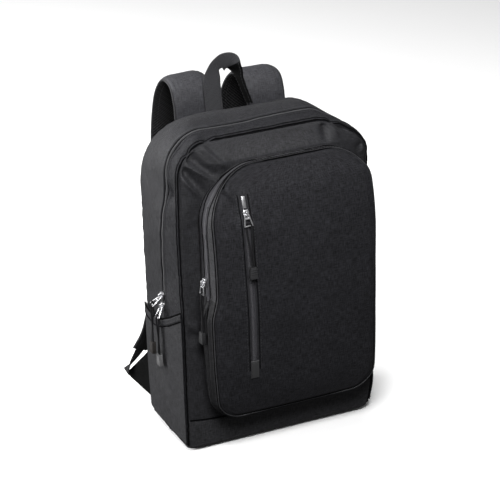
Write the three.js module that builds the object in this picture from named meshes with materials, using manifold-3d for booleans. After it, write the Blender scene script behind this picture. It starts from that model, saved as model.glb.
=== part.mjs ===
// A cloth rucksack standing on its base: a U-shaped gusset between a front and a back panel, a deep zipped
// pocket on the front with a slot pocket in its face, two open side pockets, padded shoulder straps and a
// webbing handle. Millimetres, +Z up, the front faces -Y, the origin is the middle of the base's underside.
import * as THREE from 'three';
import { mergeVertices } from 'three/addons/utils/BufferGeometryUtils.js';
import Module from 'manifold-3d';

const wasm = await Module();
wasm.setup();

// Cloth and clearance
const WALL = 1.8;
const BACK_WALL = 2.6;
const BASE_WALL = 2;
const GAP = 0.35;
const SEAM_INSET = WALL + 1.1;

// Body: each row is a height, with the half width at the seams, the bulge between them and the seams' depth
const BODY_HALF_WIDTH = 130;
const RIM_HEIGHT = 12;
const BOOT_HEIGHT = 41;
const BOOT_RISE = 8;
const BODY_SIDE = [
  { z: 0, edge: 132, bulge: 2, front: -65, back: 57 },
  { z: 53, edge: 132, bulge: 3, front: -67, back: 60 },
  { z: 173, edge: 130, bulge: 3, front: -66, back: 62 },
  { z: 258, edge: 129.5, bulge: 8, front: -64, back: 62 },
  { z: 318, edge: 128.5, bulge: 10, front: -63, back: 62 },
  { z: 368, edge: 126, bulge: 9, front: -60, back: 61 },
  { z: 433, edge: 124, bulge: 8, front: -54, back: 59 },
];
// Body from the side: each row is a share of the depth, with the height of the top and its corner radius
const BODY_TOP = [
  { t: 0, top: 421, corner: 46 },
  { t: 0.2, top: 428, corner: 50 },
  { t: 0.4, top: 431, corner: 56 },
  { t: 0.65, top: 425, corner: 60 },
  { t: 1, top: 409, corner: 62 },
];
// Right side as it stands: how far it leans out by height, and the slump of its top corner
const RIGHT_LEAN = [
  { z: 0, out: -10 },
  { z: 18, out: -4.5 },
  { z: 50, out: 0 },
  { z: 300, out: 1 },
  { z: 385, out: 9 },
  { z: 433, out: 9 },
];
const RIGHT_SLUMP = { from: 60, full: 108, low: 340, high: 415, deep: 8, middle: 13 };
// Soft dents of the gusset: place along the U and across the depth, reach both ways and how deep
const BODY_DENTS = [
  { p: 0.33, t: 0.13, along: 0.014, across: 0.055, deep: 4 },
  { p: 0.385, t: 0.12, along: 0.012, across: 0.05, deep: 2.5 },
  { p: 0.67, t: 0.13, along: 0.014, across: 0.055, deep: 3 },
];

// Base: rounded rectangles from its rim down to the flat underside
const RING_STRAIGHT = 0.3;
const BASE_RINGS = [
  { z: RIM_HEIGHT, inset: 0, corner: 5 },
  { z: 9.5, inset: 0, corner: 5 },
  { z: 6, inset: 2, corner: 9 },
  { z: 2.8, inset: 6.5, corner: 17 },
  { z: 0.8, inset: 13, corner: 25 },
  { z: 0, inset: 20, corner: 30 },
];

// Main zip: distance behind the front seam by height, and the strip's width
const ZIP_WIDTH = 13;
const ZIP_WALL = 1.3;
const ZIP_COIL_RISE = 0.9;
const ZIP_COIL_SHARE = 0.4;
const ZIP_SINK = 0.3;
const ZIP_END_SLANT = 0.006;
const ZIP_END_GAP = 0.0008;
const MAIN_ZIP_END = 186;
const MAIN_ZIP_LINE = [
  { z: 0, behind: 52 },
  { z: 186, behind: 52 },
  { z: 248, behind: 43 },
  { z: 308, behind: 33 },
  { z: 353, behind: 25 },
  { z: 433, behind: 20 },
];

// Front panel: its swell, the slope from its top seam out to the pocket, and the creases that run from its
// top corners towards the pocket
const FRONT_SWELL = 3;
const FRONT_SLOPE = { out: 15, from: 300, full: 392, run: 26 };
const FRONT_CREASES = [
  { x0: -84, z0: 422, x1: -50, z1: 382, deep: 4, reach: 8 },
  { x0: -106, z0: 411, x1: -76, z1: 378, deep: 5, reach: 8 },
  { x0: -121, z0: 396, x1: -100, z1: 360, deep: 3.5, reach: 7 },
  { x0: 76, z0: 422, x1: 74, z1: 390, deep: 3.5, reach: 7 },
  { x0: 120, z0: 400, x1: 108, z1: 372, deep: 3, reach: 8 },
];

// Front pocket: where its gusset meets the front panel, and the face's own edge by height
const POCKET_TOP = 392;
const POCKET_BOTTOM = 59.5;
const POCKET_LEFT_CORNER = 70;
const POCKET_RIGHT_CORNER = 47;
const POCKET_BOTTOM_CORNER = 30;
const POCKET_HALF_WIDTH = 105;
const POCKET_CENTRE = 4;
const POCKET_ROWS = [
  { z: 59.5, foot: -3, left: 0, right: 3, rim: -104.5 },
  { z: 98, foot: 2, left: 5, right: 5.5, rim: -112 },
  { z: 158, foot: 4, left: 8, right: 6, rim: -115 },
  { z: 200, foot: 5, left: 8, right: 7, rim: -115 },
  { z: 239, foot: 3, left: 0, right: 8, rim: -114 },
  { z: 308, foot: 2, left: -1, right: 11, rim: -109 },
  { z: 355, foot: 2, left: -1, right: 11, rim: -99 },
  { z: 392, foot: 0, left: -2, right: 6, rim: -80.5 },
];
const POCKET_SWELL = 7;
const POCKET_PUFF = { out: 3, fullDepth: 20, spread: 1.5 };
const POCKET_WALL = 1.6;
const POCKET_SEAM = POCKET_WALL + 1.1;
const POCKET_FOOT_GAP = 1.05;
const POCKET_ZIP_END = 229;
const POCKET_ZIP_SHARE = 0.62;
const POCKET_ZIP_MOST = 15;
const POCKET_SLIDER_UP = 0.02;
const FACE_CREASES = [
  { x0: -82, z0: 376, x1: -58, z1: 358, deep: 2.5, reach: 6 },
  { x0: -88, z0: 358, x1: -62, z1: 320, deep: 3, reach: 7 },
];

// Slot pocket in the pocket's face
const SLOT_X = -57;
const SLOT_TOP = 359;
const SLOT_BOTTOM = 130;
const SLOT_WIDTH = 9;
const SLOT_RECESS = 0.6;
const SLOT_COIL_RISE = 0.5;
const SLOT_CUT_DEPTH = 80;
const SLOT_SLIDER_DROP = 8;
const TOP_STOP = { width: 4.6, length: 14, thick: 1.1, inset: 1 };
const END_PATCH = { width: 11, length: 25, thick: 1.2, below: 13, lift: 0.1 };

// Side pockets: height of the hem by share of the depth
const SIDE_POCKET_FOOT = 16;
const SIDE_POCKET_LIFT = 7;
const SIDE_POCKET_WALL = 1.6;
const SIDE_POCKET_CLEAR = 0.65;
const HEM_CLEAR = 1.05;
const HEM_HEIGHT = 10;
const HEM_WALL = 2.4;
const HEM_LINE = [
  { t: 0, z: 201 },
  { t: 0.25, z: 183 },
  { t: 0.5, z: 171 },
  { t: 1, z: 165 },
];

// Left shoulder strap from its top seam: middle line, width, padding, turn of its width about the vertical,
// and the shares of each strap's own sag and of its drift towards the middle
const STRAP_EDGE = 2.6;
const STRAP_SAG = { left: 0, right: 11 };
const STRAP_DRIFT = { left: 0, right: 11 };
const STRAP_ROWS = [
  { x: -50.5, y: 62.1, z: 404, wide: 51, thick: 3.4, turn: 0, sag: 0, drift: 0 },
  { x: -50.5, y: 65.5, z: 429, wide: 51, thick: 7, turn: 0, sag: 0.6, drift: 0 },
  { x: -50.5, y: 76, z: 447, wide: 51, thick: 10, turn: 0, sag: 1, drift: 0 },
  { x: -51, y: 98, z: 450, wide: 52, thick: 11, turn: 0, sag: 1, drift: 0.5 },
  { x: -52, y: 120, z: 428, wide: 54, thick: 11, turn: 0, sag: 0.8, drift: 0.8 },
  { x: -53, y: 132, z: 391, wide: 56, thick: 11, turn: 0, sag: 0.3, drift: 1 },
  { x: -56, y: 136, z: 338, wide: 57, thick: 11, turn: 4, sag: 0, drift: 1 },
  { x: -64, y: 133, z: 273, wide: 57, thick: 11, turn: 12, sag: 0, drift: 0.7 },
  { x: -78, y: 127, z: 208, wide: 55, thick: 11, turn: 28, sag: 0, drift: 0.3 },
  { x: -97, y: 120.5, z: 148, wide: 52, thick: 11, turn: 48, sag: 0, drift: 0 },
  { x: -117, y: 117, z: 100, wide: 46, thick: 10, turn: 66, sag: 0, drift: 0 },
  { x: -129, y: 116, z: 70, wide: 40, thick: 5, turn: 76, sag: 0, drift: 0 },
];
// Webbing from the strap's end to the wing, and the wing of cloth sewn in the side seam
const WEBBING_WIDTH = 25;
const WEBBING_THICK = 2;
const WEBBING_ROWS = [
  { x: -129.3, y: 116, z: 69.1, turn: 78 },
  { x: -137, y: 116.5, z: 55, turn: 82 },
  { x: -145.5, y: 116.5, z: 41, turn: 86 },
];
const WING_LOW = 26;
const WING_HIGH = 94;
const WING_TIP_LOW = new THREE.Vector3(-144, 118, 38);
const WING_TIP_HIGH = new THREE.Vector3(-134.6, 106, 54);

// Handle from the left leg to the right one: middle line, width, turn of the width about the vertical, and
// how far the width tips over where the band folds across the top; the fold takes up part of the width
const HANDLE_THICK = 2.2;
const HANDLE_ROWS = [
  { x: -24.5, y: 56.6, z: 411.3, wide: 24, turn: 0, tip: 0 },
  { x: -25.5, y: 57.5, z: 434, wide: 24, turn: 0, tip: 0 },
  { x: -25, y: 59, z: 454, wide: 24, turn: 0, tip: 3 },
  { x: -19, y: 60.5, z: 468.5, wide: 15, turn: 0, tip: 43 },
  { x: -8, y: 61, z: 473.5, wide: 22, turn: 50, tip: 87 },
  { x: 3, y: 60, z: 470.5, wide: 24, turn: 105, tip: 36 },
  { x: 9.5, y: 57, z: 459, wide: 24, turn: 90, tip: 12 },
  { x: 14.8, y: 52, z: 438, wide: 24, turn: 87, tip: 12 },
  { x: 20, y: 46.5, z: 418.4, wide: 24, turn: 87, tip: 13 },
];

// Zip pull: slider, A-shaped link, doubled cord and moulded tip
const SLIDER = { width: 8, length: 11, thick: 3.2, bridge: 1.8 };
const LINK = { topWidth: 6.6, bottomWidth: 12, length: 15, bar: 1.4, upper: 3.4 };
const CORD_DIAMETER = 2.2;
const CORD_SIDES = 8;
const CORD_STEPS = 24;
const CORD_LOOP = 3.6;
const STRAND_GAP = 0.3;
const PULL_CORD = 52;
const EYE_HIGH = LINK.bar * Math.SQRT2 + 2 * GAP;
const EYE_LONG = EYE_HIGH;
const EYE_BACK = -SLIDER.length * 0.2;
const EYE_FLOOR = 0.7;
const EYE_ROOF = 1;
const BRIDGE_SINK = 0.4;
const TIP = { top: 7.6, bottom: 10, length: 15, thick: 5.2 };

// How each link swings aside and leans off the cloth, and how far its cord tilts off the upright, in radians
const MAIN_PULLS = [
  { name: 'main_upper', z: 206, swing: -0.14, lean: 1, tilt: 0.04 },
  { name: 'main_lower', z: 191, swing: 0.27, lean: 0.63, tilt: 0 },
];
const POCKET_PULL = { swing: 0, lean: 0.1, tilt: 0.04 };
const SLOT_PULL = { swing: 0.05, lean: 0.02, tilt: 0.17 };

const COLOURS = {
  cloth: 0x26262a,
  boot: 0x232327,
  webbing: 0x202023,
  tape: 0x2a2a31,
  metal: 0xd8d8da,
  rubber: 0x3a3a3c,
};
const METAL = { metal: 1, rough: 0.3 };

const rucksack = new THREE.Group();

// Value of one named column at a station of a table, on a curve that never overshoots its rows
function column(table, key, name, at) {
  const last = table.length - 1;
  const here = Math.min(Math.max(at, table[0][key]), table[last][key]);
  let i = 0;
  while (i < last - 1 && here > table[i + 1][key]) i += 1;
  const slope = (k) => (table[k + 1][name] - table[k][name]) / (table[k + 1][key] - table[k][key]);
  const ease = (k) => {
    if (k === 0 || k === last) return slope(Math.min(k, last - 1));
    const before = slope(k - 1);
    const after = slope(k);
    return before * after <= 0 ? 0 : (2 * before * after) / (before + after);
  };
  const span = table[i + 1][key] - table[i][key];
  const s = (here - table[i][key]) / span;
  const rise = 3 * s * s - 2 * s * s * s;
  const start = s * (1 - s) * (1 - s) * span * ease(i);
  const end = s * s * (s - 1) * span * ease(i + 1);
  return table[i][name] * (1 - rise) + table[i + 1][name] * rise + start + end;
}

function lerp(a, b, s) {
  return a + (b - a) * s;
}

// Bell of height 1 around zero that has died away at three times its reach
function bell(distance, reach) {
  return Math.exp(-((distance / reach) ** 2));
}

// Depth of a set of creases at a point of a panel: each is a trough that fades out at its inner end
function creaseDepth(creases, x, z) {
  let depth = 0;
  for (const crease of creases) {
    const dx = crease.x1 - crease.x0;
    const dz = crease.z1 - crease.z0;
    const along = ((x - crease.x0) * dx + (z - crease.z0) * dz) / (dx * dx + dz * dz);
    const s = Math.min(Math.max(along, 0), 1);
    const away = Math.hypot(x - crease.x0 - s * dx, z - crease.z0 - s * dz);
    depth += crease.deep * bell(away, crease.reach) * (1 - s * s);
  }
  return depth;
}

// Closed mesh of welded triangles, facing outwards, with collapsed triangles dropped
function closedGeometry(positions, triangles) {
  const raw = new THREE.BufferGeometry();
  raw.setAttribute('position', new THREE.Float32BufferAttribute(positions, 3));
  raw.setIndex(triangles);
  const welded = mergeVertices(raw, 1e-4);
  const index = welded.getIndex().array;
  const at = welded.getAttribute('position');
  const corner = [new THREE.Vector3(), new THREE.Vector3(), new THREE.Vector3()];
  const kept = [];
  let volume = 0;
  for (let i = 0; i < index.length; i += 3) {
    const [a, b, c] = [index[i], index[i + 1], index[i + 2]];
    if (a === b || b === c || c === a) continue;
    kept.push(a, b, c);
    [a, b, c].forEach((k, n) => corner[n].fromBufferAttribute(at, k));
    volume += corner[0].dot(corner[1].clone().cross(corner[2]));
  }
  if (volume < 0) kept.reverse();
  welded.setIndex(kept);
  return welded;
}

// Even stations from 0 to 1
function evenly(steps) {
  return Array.from({ length: steps + 1 }, (_, i) => i / steps);
}

// Cloth wall over a grid of stations: point(u, v) is its outer face, which u cross v points out of. The wall
// goes inwards by its thickness, or half to each side, and a round piece closes on itself along u.
function wall(point, alongStations, across, options = {}) {
  const { thick = WALL, out = 0, round = false, both = false } = options;
  const step = 1e-3;
  const positions = [];
  const triangles = [];
  const stations = typeof alongStations === 'number' ? evenly(alongStations) : alongStations;
  const columns = across + 1;
  const rows = stations.length;
  const along = round ? rows : rows - 1;
  const lift = typeof out === 'function' ? out : () => out;
  const depth = typeof thick === 'function' ? thick : () => thick;
  const normalAt = (u, v) => {
    const inner = Math.min(Math.max(v, step * 2), 1 - step * 2);
    const end = round ? u : Math.min(Math.max(u, step), 1 - step);
    const du = point(end + step, inner).sub(point(end - step, inner));
    const dv = point(end, inner + step).sub(point(end, inner - step));
    return du.cross(dv).normalize();
  };
  for (const face of [0, 1]) {
    for (let i = 0; i < rows; i += 1) {
      for (let j = 0; j < columns; j += 1) {
        const u = stations[i];
        const v = j / across;
        const shift = lift(u, v) + depth(u, v) * (both ? 0.5 - face : -face);
        const place = point(u, v).addScaledVector(normalAt(u, v), shift);
        positions.push(place.x, place.y, place.z);
      }
    }
  }
  const id = (face, i, j) => face * rows * columns + (i % rows) * columns + j;
  const quad = (a, b, c, d) => triangles.push(a, b, c, a, c, d);
  for (let i = 0; i < along; i += 1) {
    for (let j = 0; j < across; j += 1) {
      quad(id(0, i, j), id(0, i + 1, j), id(0, i + 1, j + 1), id(0, i, j + 1));
      quad(id(1, i, j), id(1, i, j + 1), id(1, i + 1, j + 1), id(1, i + 1, j));
    }
    quad(id(0, i, 0), id(1, i, 0), id(1, i + 1, 0), id(0, i + 1, 0));
    quad(id(0, i, across), id(0, i + 1, across), id(1, i + 1, across), id(1, i, across));
  }
  if (!round) {
    for (let j = 0; j < across; j += 1) {
      quad(id(0, 0, j), id(0, 0, j + 1), id(1, 0, j + 1), id(1, 0, j));
      quad(id(0, along, j), id(1, along, j), id(1, along, j + 1), id(0, along, j + 1));
    }
  }
  return closedGeometry(positions, triangles);
}

// Raised coil along the middle of a zip's strip, at a share of its width
function coil(share, rise) {
  return Math.abs(share - 0.5) < ZIP_COIL_SHARE / 2 ? rise : 0;
}

const ZIP_STRIP = {
  thick: (u, v) => ZIP_WALL + coil(v, ZIP_COIL_RISE),
  out: (u, v) => coil(v, ZIP_COIL_RISE) - ZIP_SINK,
};

// Share between nothing and a half at which a rising height reaches its goal, by halving
function shareAtHeight(heightAt, goal) {
  let low = 0;
  let high = 0.5;
  for (let i = 0; i < 40; i += 1) {
    const middle = (low + high) / 2;
    if (heightAt(middle) < goal) low = middle;
    else high = middle;
  }
  return low;
}

// Joins and cuts
function solidOf(geometry) {
  const bare = geometry.index ? geometry.clone() : geometry;
  bare.deleteAttribute('normal');
  bare.deleteAttribute('uv');
  const welded = mergeVertices(bare, 1e-4);
  const vertProperties = new Float32Array(welded.getAttribute('position').array);
  const triVerts = new Uint32Array(welded.getIndex().array);
  return new wasm.Manifold(new wasm.Mesh({ numProp: 3, vertProperties, triVerts }));
}

function geometryOf(solid) {
  const mesh = solid.getMesh();
  const geometry = new THREE.BufferGeometry();
  geometry.setAttribute('position', new THREE.Float32BufferAttribute(mesh.vertProperties, 3));
  geometry.setIndex(Array.from(mesh.triVerts));
  return geometry;
}

function piece(name, geometry, colour, { metal = 0, rough = 0.85, parent = rucksack } = {}) {
  const material = new THREE.MeshStandardMaterial({ color: colour, roughness: rough, metalness: metal });
  const mesh = new THREE.Mesh(geometry, material);
  mesh.name = name;
  parent.add(mesh);
  return mesh;
}

// Body surface

function halfWidth(t, z) {
  return column(BODY_SIDE, 'z', 'edge', z) + column(BODY_SIDE, 'z', 'bulge', z) * 4 * t * (1 - t);
}

function depthAt(t, z) {
  return lerp(column(BODY_SIDE, 'z', 'front', z), column(BODY_SIDE, 'z', 'back', z), t);
}

// U-shaped outline of the body at a share of its depth, up the left side, over the top and down the right
function bodyOutline(t) {
  const top = column(BODY_TOP, 't', 'top', t);
  const radius = column(BODY_TOP, 't', 'corner', t);
  const inner = BODY_HALF_WIDTH - radius;
  const outline = new THREE.Path();
  outline.moveTo(-BODY_HALF_WIDTH, RIM_HEIGHT + GAP);
  outline.lineTo(-BODY_HALF_WIDTH, top - radius);
  outline.absarc(-inner, top - radius, radius, Math.PI, Math.PI / 2, true);
  outline.lineTo(inner, top);
  outline.absarc(inner, top - radius, radius, Math.PI / 2, 0, true);
  outline.lineTo(BODY_HALF_WIDTH, RIM_HEIGHT + GAP);
  return outline;
}

// Point of the body moved to where the right side stands
function settle(place) {
  const side = Math.max(place.x / BODY_HALF_WIDTH, 0);
  const { smoothstep, clamp } = THREE.MathUtils;
  const { from, full, low, high, deep, middle } = RIGHT_SLUMP;
  const back = clamp((place.y - BODY_SIDE[0].front) / (BODY_SIDE[0].back - BODY_SIDE[0].front), 0, 1);
  const slump = deep + middle * 4 * back * (1 - back);
  const sunk = slump * smoothstep(place.x, from, full) * smoothstep(place.z, low, high);
  place.x += column(RIGHT_LEAN, 'z', 'out', place.z) * side * side;
  place.z -= sunk;
  return place;
}

function bodyPoint(p, t) {
  const flat = bodyOutline(t).getPointAt(Math.min(Math.max(p, 0), 1));
  let pull = 0;
  for (const dent of BODY_DENTS) {
    pull += dent.deep * bell(p - dent.p, dent.along) * bell(t - dent.t, dent.across);
  }
  const middle = new THREE.Vector3(0, depthAt(t, flat.y), BODY_HALF_WIDTH * 2);
  const place = new THREE.Vector3(flat.x * (halfWidth(t, flat.y) / BODY_HALF_WIDTH), middle.y, flat.y);
  return settle(place.addScaledVector(middle.sub(place).normalize(), pull));
}

// Share of the depth at which the main zip's middle runs, at a place along the U
function mainZipShare(p) {
  const z = bodyPoint(p, 0.2).z;
  return column(MAIN_ZIP_LINE, 'z', 'behind', z) / (depthAt(1, z) - depthAt(0, z));
}

// Place along the U of a height on the left side, about where the main zip runs
function placeAtHeight(height) {
  return shareAtHeight((p) => bodyPoint(p, 0.4).z, height);
}

const ZIP_START = placeAtHeight(MAIN_ZIP_END);
const DEPTH_NOMINAL = depthAt(1, 250) - depthAt(0, 250);
const ZIP_HALF_SHARE = ZIP_WIDTH / 2 / DEPTH_NOMINAL;
const GAP_SHARE = GAP / DEPTH_NOMINAL;

// Front edge of the strip behind it: the zip's front edge above the zip's ends, the plain seam below them
function frontStripShare(p) {
  const q = Math.min(p, 1 - p);
  const below = THREE.MathUtils.smoothstep(ZIP_START - q, 0, ZIP_END_SLANT);
  return mainZipShare(p) + lerp(-ZIP_HALF_SHARE, ZIP_HALF_SHARE, below) - GAP_SHARE;
}

// Stations along the U, close together round the corners and at the zip's ends, the same on both sides
function bodyStations() {
  const left = [0, 0.02, 0.04, 0.07, 0.105, ZIP_START - ZIP_END_SLANT, ZIP_START, 0.2, 0.235, 0.27];
  const corner = evenly(11).map((s) => lerp(0.31, 0.45, s));
  const half = [...left, ...corner];
  return [...half, 0.5, ...half.map((p) => 1 - p).reverse()];
}

function addGussets() {
  const along = bodyStations();
  const front = (u, v) => bodyPoint(u, v * frontStripShare(u));
  const rear = (u, v) => bodyPoint(u, lerp(mainZipShare(u) + ZIP_HALF_SHARE, 1, v));
  piece('front_gusset', wall(front, along, 2), COLOURS.cloth);
  piece('rear_gusset', wall(rear, along, 3), COLOURS.cloth);
  const strip = (p, v) => bodyPoint(p, mainZipShare(p) + lerp(-1, 1, v) * (ZIP_HALF_SHARE - GAP_SHARE));
  const zipped = along.filter((p) => p > ZIP_START && p < 1 - ZIP_START);
  const ends = [ZIP_START + ZIP_END_GAP, 1 - ZIP_START - ZIP_END_GAP];
  piece('main_zip', wall(strip, [ends[0], ...zipped, ends[1]], 4, ZIP_STRIP), COLOURS.tape);
}

// Half width of a flat panel's edge at a height, inside the gusset's wall, with its round top corners
function panelHalfWidth(t, z) {
  const top = column(BODY_TOP, 't', 'top', t) - SEAM_INSET;
  const radius = column(BODY_TOP, 't', 'corner', t) - SEAM_INSET;
  const above = Math.max(z - (top - radius), 0);
  const rounding = radius - Math.sqrt(Math.max(radius * radius - above * above, 0));
  return halfWidth(t, z) - SEAM_INSET - rounding;
}

// Heights of a panel's rows, closer together in its round top
function panelRow(low, high, v) {
  return lerp(low, high, 1 - (1 - v) ** 1.5);
}

// Front panel's depth without its creases: it swells, and slopes out from its top seam to the pocket's top
function frontDepth(x, z) {
  const top = BODY_TOP[0].top;
  const across = Math.min(Math.abs(x) / BODY_HALF_WIDTH, 1);
  const swell = FRONT_SWELL * (1 - across ** 4) * Math.sin(Math.PI * Math.min(z / top, 1));
  const { out, from, full, run } = FRONT_SLOPE;
  const { clamp, smoothstep } = THREE.MathUtils;
  const sideways = Math.min(Math.abs(x) / Math.max(panelHalfWidth(0, z), 1), 1);
  const slope = out * clamp((top - z) / run, 0, 1) * (1 - sideways ** 6) * smoothstep(z, from, full);
  return depthAt(0, z) - swell - slope;
}

// Height of the seam between the boot and the front panel, from the left edge to the right one
function bootTop(u) {
  return BOOT_HEIGHT + BOOT_RISE * lerp(-1, 1, u) ** 2;
}

function addPanels() {
  const frontTop = BODY_TOP[0].top - SEAM_INSET;
  const front = (u, v) => {
    const z = panelRow(bootTop(u) + GAP, frontTop, v);
    const x = lerp(-1, 1, u) * panelHalfWidth(0, z);
    return settle(new THREE.Vector3(x, frontDepth(x, z) + creaseDepth(FRONT_CREASES, x, z), z));
  };
  piece('front_panel', wall(front, 18, 14), COLOURS.cloth);
  const boot = (u, v) => {
    const z = lerp(RIM_HEIGHT + GAP, bootTop(u), v);
    const x = lerp(-1, 1, u) * panelHalfWidth(0, z);
    return settle(new THREE.Vector3(x, frontDepth(x, z), z));
  };
  piece('front_boot', wall(boot, 10, 1), COLOURS.boot);
  const backTop = BODY_TOP[BODY_TOP.length - 1].top - SEAM_INSET;
  const back = (u, v) => {
    const z = panelRow(RIM_HEIGHT + GAP, backTop, v);
    return settle(new THREE.Vector3(lerp(1, -1, u) * panelHalfWidth(1, z), depthAt(1, z), z));
  };
  piece('back_panel', wall(back, 8, 12, { thick: BACK_WALL }), COLOURS.cloth);
}

// Place on a rounded rectangle, from the middle of its front round by the left; each quarter of the way is
// half a side, a corner and half the next side
function ringPlace(half, front, back, corner, turn) {
  const quarter = Math.floor(turn * 4) % 4;
  const s = turn * 4 - Math.floor(turn * 4);
  const [x, y] = [half - corner, (back - front) / 2 - corner];
  const angle = THREE.MathUtils.clamp((s - RING_STRAIGHT) / (1 - 2 * RING_STRAIGHT), 0, 1) * Math.PI / 2;
  const first = Math.min(s / RING_STRAIGHT, 1);
  const second = Math.min((1 - s) / RING_STRAIGHT, 1);
  const sideways = quarter % 2 === 0 ? [first, second] : [second, first];
  const bow = quarter % 2 === 0 ? [Math.sin(angle), Math.cos(angle)] : [Math.cos(angle), Math.sin(angle)];
  const signX = quarter < 2 ? -1 : 1;
  const signY = quarter === 0 || quarter === 3 ? -1 : 1;
  return new THREE.Vector2(
    signX * (sideways[0] * x + bow[0] * corner),
    (front + back) / 2 + signY * (sideways[1] * y + bow[1] * corner),
  );
}

// Base: a tray of rounded rectangles that shrink towards the flat underside
function addBase() {
  const half = halfWidth(0, RIM_HEIGHT);
  const front = depthAt(0, RIM_HEIGHT);
  const back = depthAt(1, RIM_HEIGHT);
  const steps = BASE_RINGS.length;
  const ring = (inset, corner, turn) => ringPlace(half - inset, front + inset, back - inset, corner, turn);
  const tray = (u, v) => {
    const k = Math.min(v * steps, steps);
    const turn = u - Math.floor(u);
    const i = Math.min(Math.floor(k), steps - 1);
    const next = BASE_RINGS[Math.min(i + 1, steps - 1)];
    const blend = (name) => lerp(BASE_RINGS[i][name], next[name], k - i);
    const shrink = Math.min(steps - k, 1);
    const edge = ring(blend('inset'), blend('corner'), turn);
    return settle(new THREE.Vector3(edge.x * shrink, lerp((front + back) / 2, edge.y, shrink), blend('z')));
  };
  const quarter = [0, RING_STRAIGHT, 0.43, 0.57, 1 - RING_STRAIGHT];
  const stations = [0, 1, 2, 3].flatMap((k) => quarter.map((s) => (k + s) / 4));
  piece('base_panel', wall(tray, stations, steps, { thick: BASE_WALL, round: true }), COLOURS.boot);
}

// Front pocket

// Closed outline of the pocket from the middle of its foot, up the left side, over the top and down the right
function pocketOutline(left, right) {
  const [foot, top] = [POCKET_BOTTOM, POCKET_TOP];
  const [low, high, far] = [POCKET_BOTTOM_CORNER, POCKET_LEFT_CORNER, POCKET_RIGHT_CORNER];
  const outline = new THREE.Path();
  outline.moveTo(POCKET_CENTRE, foot);
  outline.lineTo(left + low, foot);
  outline.absarc(left + low, foot + low, low, -Math.PI / 2, -Math.PI, true);
  outline.lineTo(left, top - high);
  outline.absarc(left + high, top - high, high, Math.PI, Math.PI / 2, true);
  outline.lineTo(right - far, top);
  outline.absarc(right - far, top - far, far, Math.PI / 2, 0, true);
  outline.lineTo(right, foot + low);
  outline.absarc(right - low, foot + low, low, 0, -Math.PI / 2, true);
  outline.lineTo(POCKET_CENTRE, foot);
  return outline;
}

const POCKET_PATH = pocketOutline(POCKET_CENTRE - POCKET_HALF_WIDTH, POCKET_CENTRE + POCKET_HALF_WIDTH);

function pocketRow(name, z) {
  return column(POCKET_ROWS, 'z', name, z);
}

function pocketEdge(q) {
  return POCKET_PATH.getPointAt(q - Math.floor(q));
}

// Foot of the gusset on the front panel
function pocketFoot(q) {
  const flat = pocketEdge(q);
  const side = (flat.x - POCKET_CENTRE) / POCKET_HALF_WIDTH;
  const x = flat.x + side * pocketRow('foot', flat.y);
  return new THREE.Vector3(x, frontDepth(x, flat.y) - POCKET_FOOT_GAP, flat.y);
}

// Front edge of the gusset, where the face is sewn on
function pocketRim(q) {
  const flat = pocketEdge(q);
  const side = (flat.x - POCKET_CENTRE) / POCKET_HALF_WIDTH;
  const x = flat.x + side * pocketRow(side < 0 ? 'left' : 'right', flat.y);
  return new THREE.Vector3(x, pocketRow('rim', flat.y), flat.y);
}

// Gusset from its front edge (v = 0) to its foot (v = 1), puffed out a little between them
function pocketWallPoint(q, v) {
  const place = pocketRim(q).lerp(pocketFoot(q), v);
  const flat = pocketEdge(q);
  const side = (flat.x - POCKET_CENTRE) / POCKET_HALF_WIDTH;
  const stands = Math.abs(place.y - frontDepth(place.x, place.z)) / POCKET_PUFF.fullDepth;
  const puff = POCKET_PUFF.out * Math.sin(Math.PI * v) * Math.min(1, stands);
  place.x += puff * Math.sign(side) * Math.min(1, Math.abs(side) * POCKET_PUFF.spread);
  return place;
}

function pocketDepth(q) {
  return pocketRim(q).distanceTo(pocketFoot(q));
}

// Place along the pocket's outline of the zip's lower end on the left side
const POCKET_ZIP_START = shareAtHeight((q) => pocketEdge(q).y, POCKET_ZIP_END);

// Shares of the gusset's width between which the zip lies, at a place along the outline
function pocketZipShares(q) {
  const depth = pocketDepth(q);
  const half = Math.min(POCKET_ZIP_MOST, depth * POCKET_ZIP_SHARE) / 2 / depth;
  return { middle: 0.5, half, gap: GAP / depth };
}

// Stations round the pocket, close together at its corners and at the zip's ends, the same on both sides
function pocketStations() {
  const foot = [0.037, 0.0735, 0.085, 0.0965, 0.108, 0.1196];
  const zipEnd = [POCKET_ZIP_START - ZIP_END_SLANT, POCKET_ZIP_START];
  const side = [0.16, 0.195, 0.212, 0.23, ...zipEnd, 0.27, 0.285, 0.305, 0.33];
  const corner = evenly(9).map((s) => lerp(0.3616, 0.4566, s));
  const half = [...foot, ...side, ...corner];
  return [0, ...half, 0.5, ...half.map((q) => 1 - q).reverse()];
}

function addPocketGusset() {
  const along = pocketStations();
  const face = (q, v) => {
    const { middle, half } = pocketZipShares(q);
    return pocketWallPoint(q, v * (middle - half));
  };
  const base = (q, v) => {
    const { middle, half, gap } = pocketZipShares(q);
    const turn = Math.min(q - Math.floor(q), 1 - (q - Math.floor(q)));
    const below = THREE.MathUtils.smoothstep(POCKET_ZIP_START - turn, 0, ZIP_END_SLANT);
    return pocketWallPoint(q, lerp(middle + lerp(half, -half, below) + gap, 1, v));
  };
  piece('pocket_gusset_face', wall(face, along, 1, { thick: POCKET_WALL, round: true }), COLOURS.cloth);
  piece('pocket_gusset_base', wall(base, along, 2, { thick: POCKET_WALL, round: true }), COLOURS.cloth);
  const zipped = along.filter((q) => q > POCKET_ZIP_START && q < 1 - POCKET_ZIP_START);
  const ends = [POCKET_ZIP_START + ZIP_END_GAP, 1 - POCKET_ZIP_START - ZIP_END_GAP];
  const strip = (q, v) => {
    const { middle, half, gap } = pocketZipShares(q);
    return pocketWallPoint(q, lerp(middle - half + gap, middle + half, v));
  };
  piece('pocket_zip', wall(strip, [ends[0], ...zipped, ends[1]], 4, ZIP_STRIP), COLOURS.tape);
}

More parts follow.
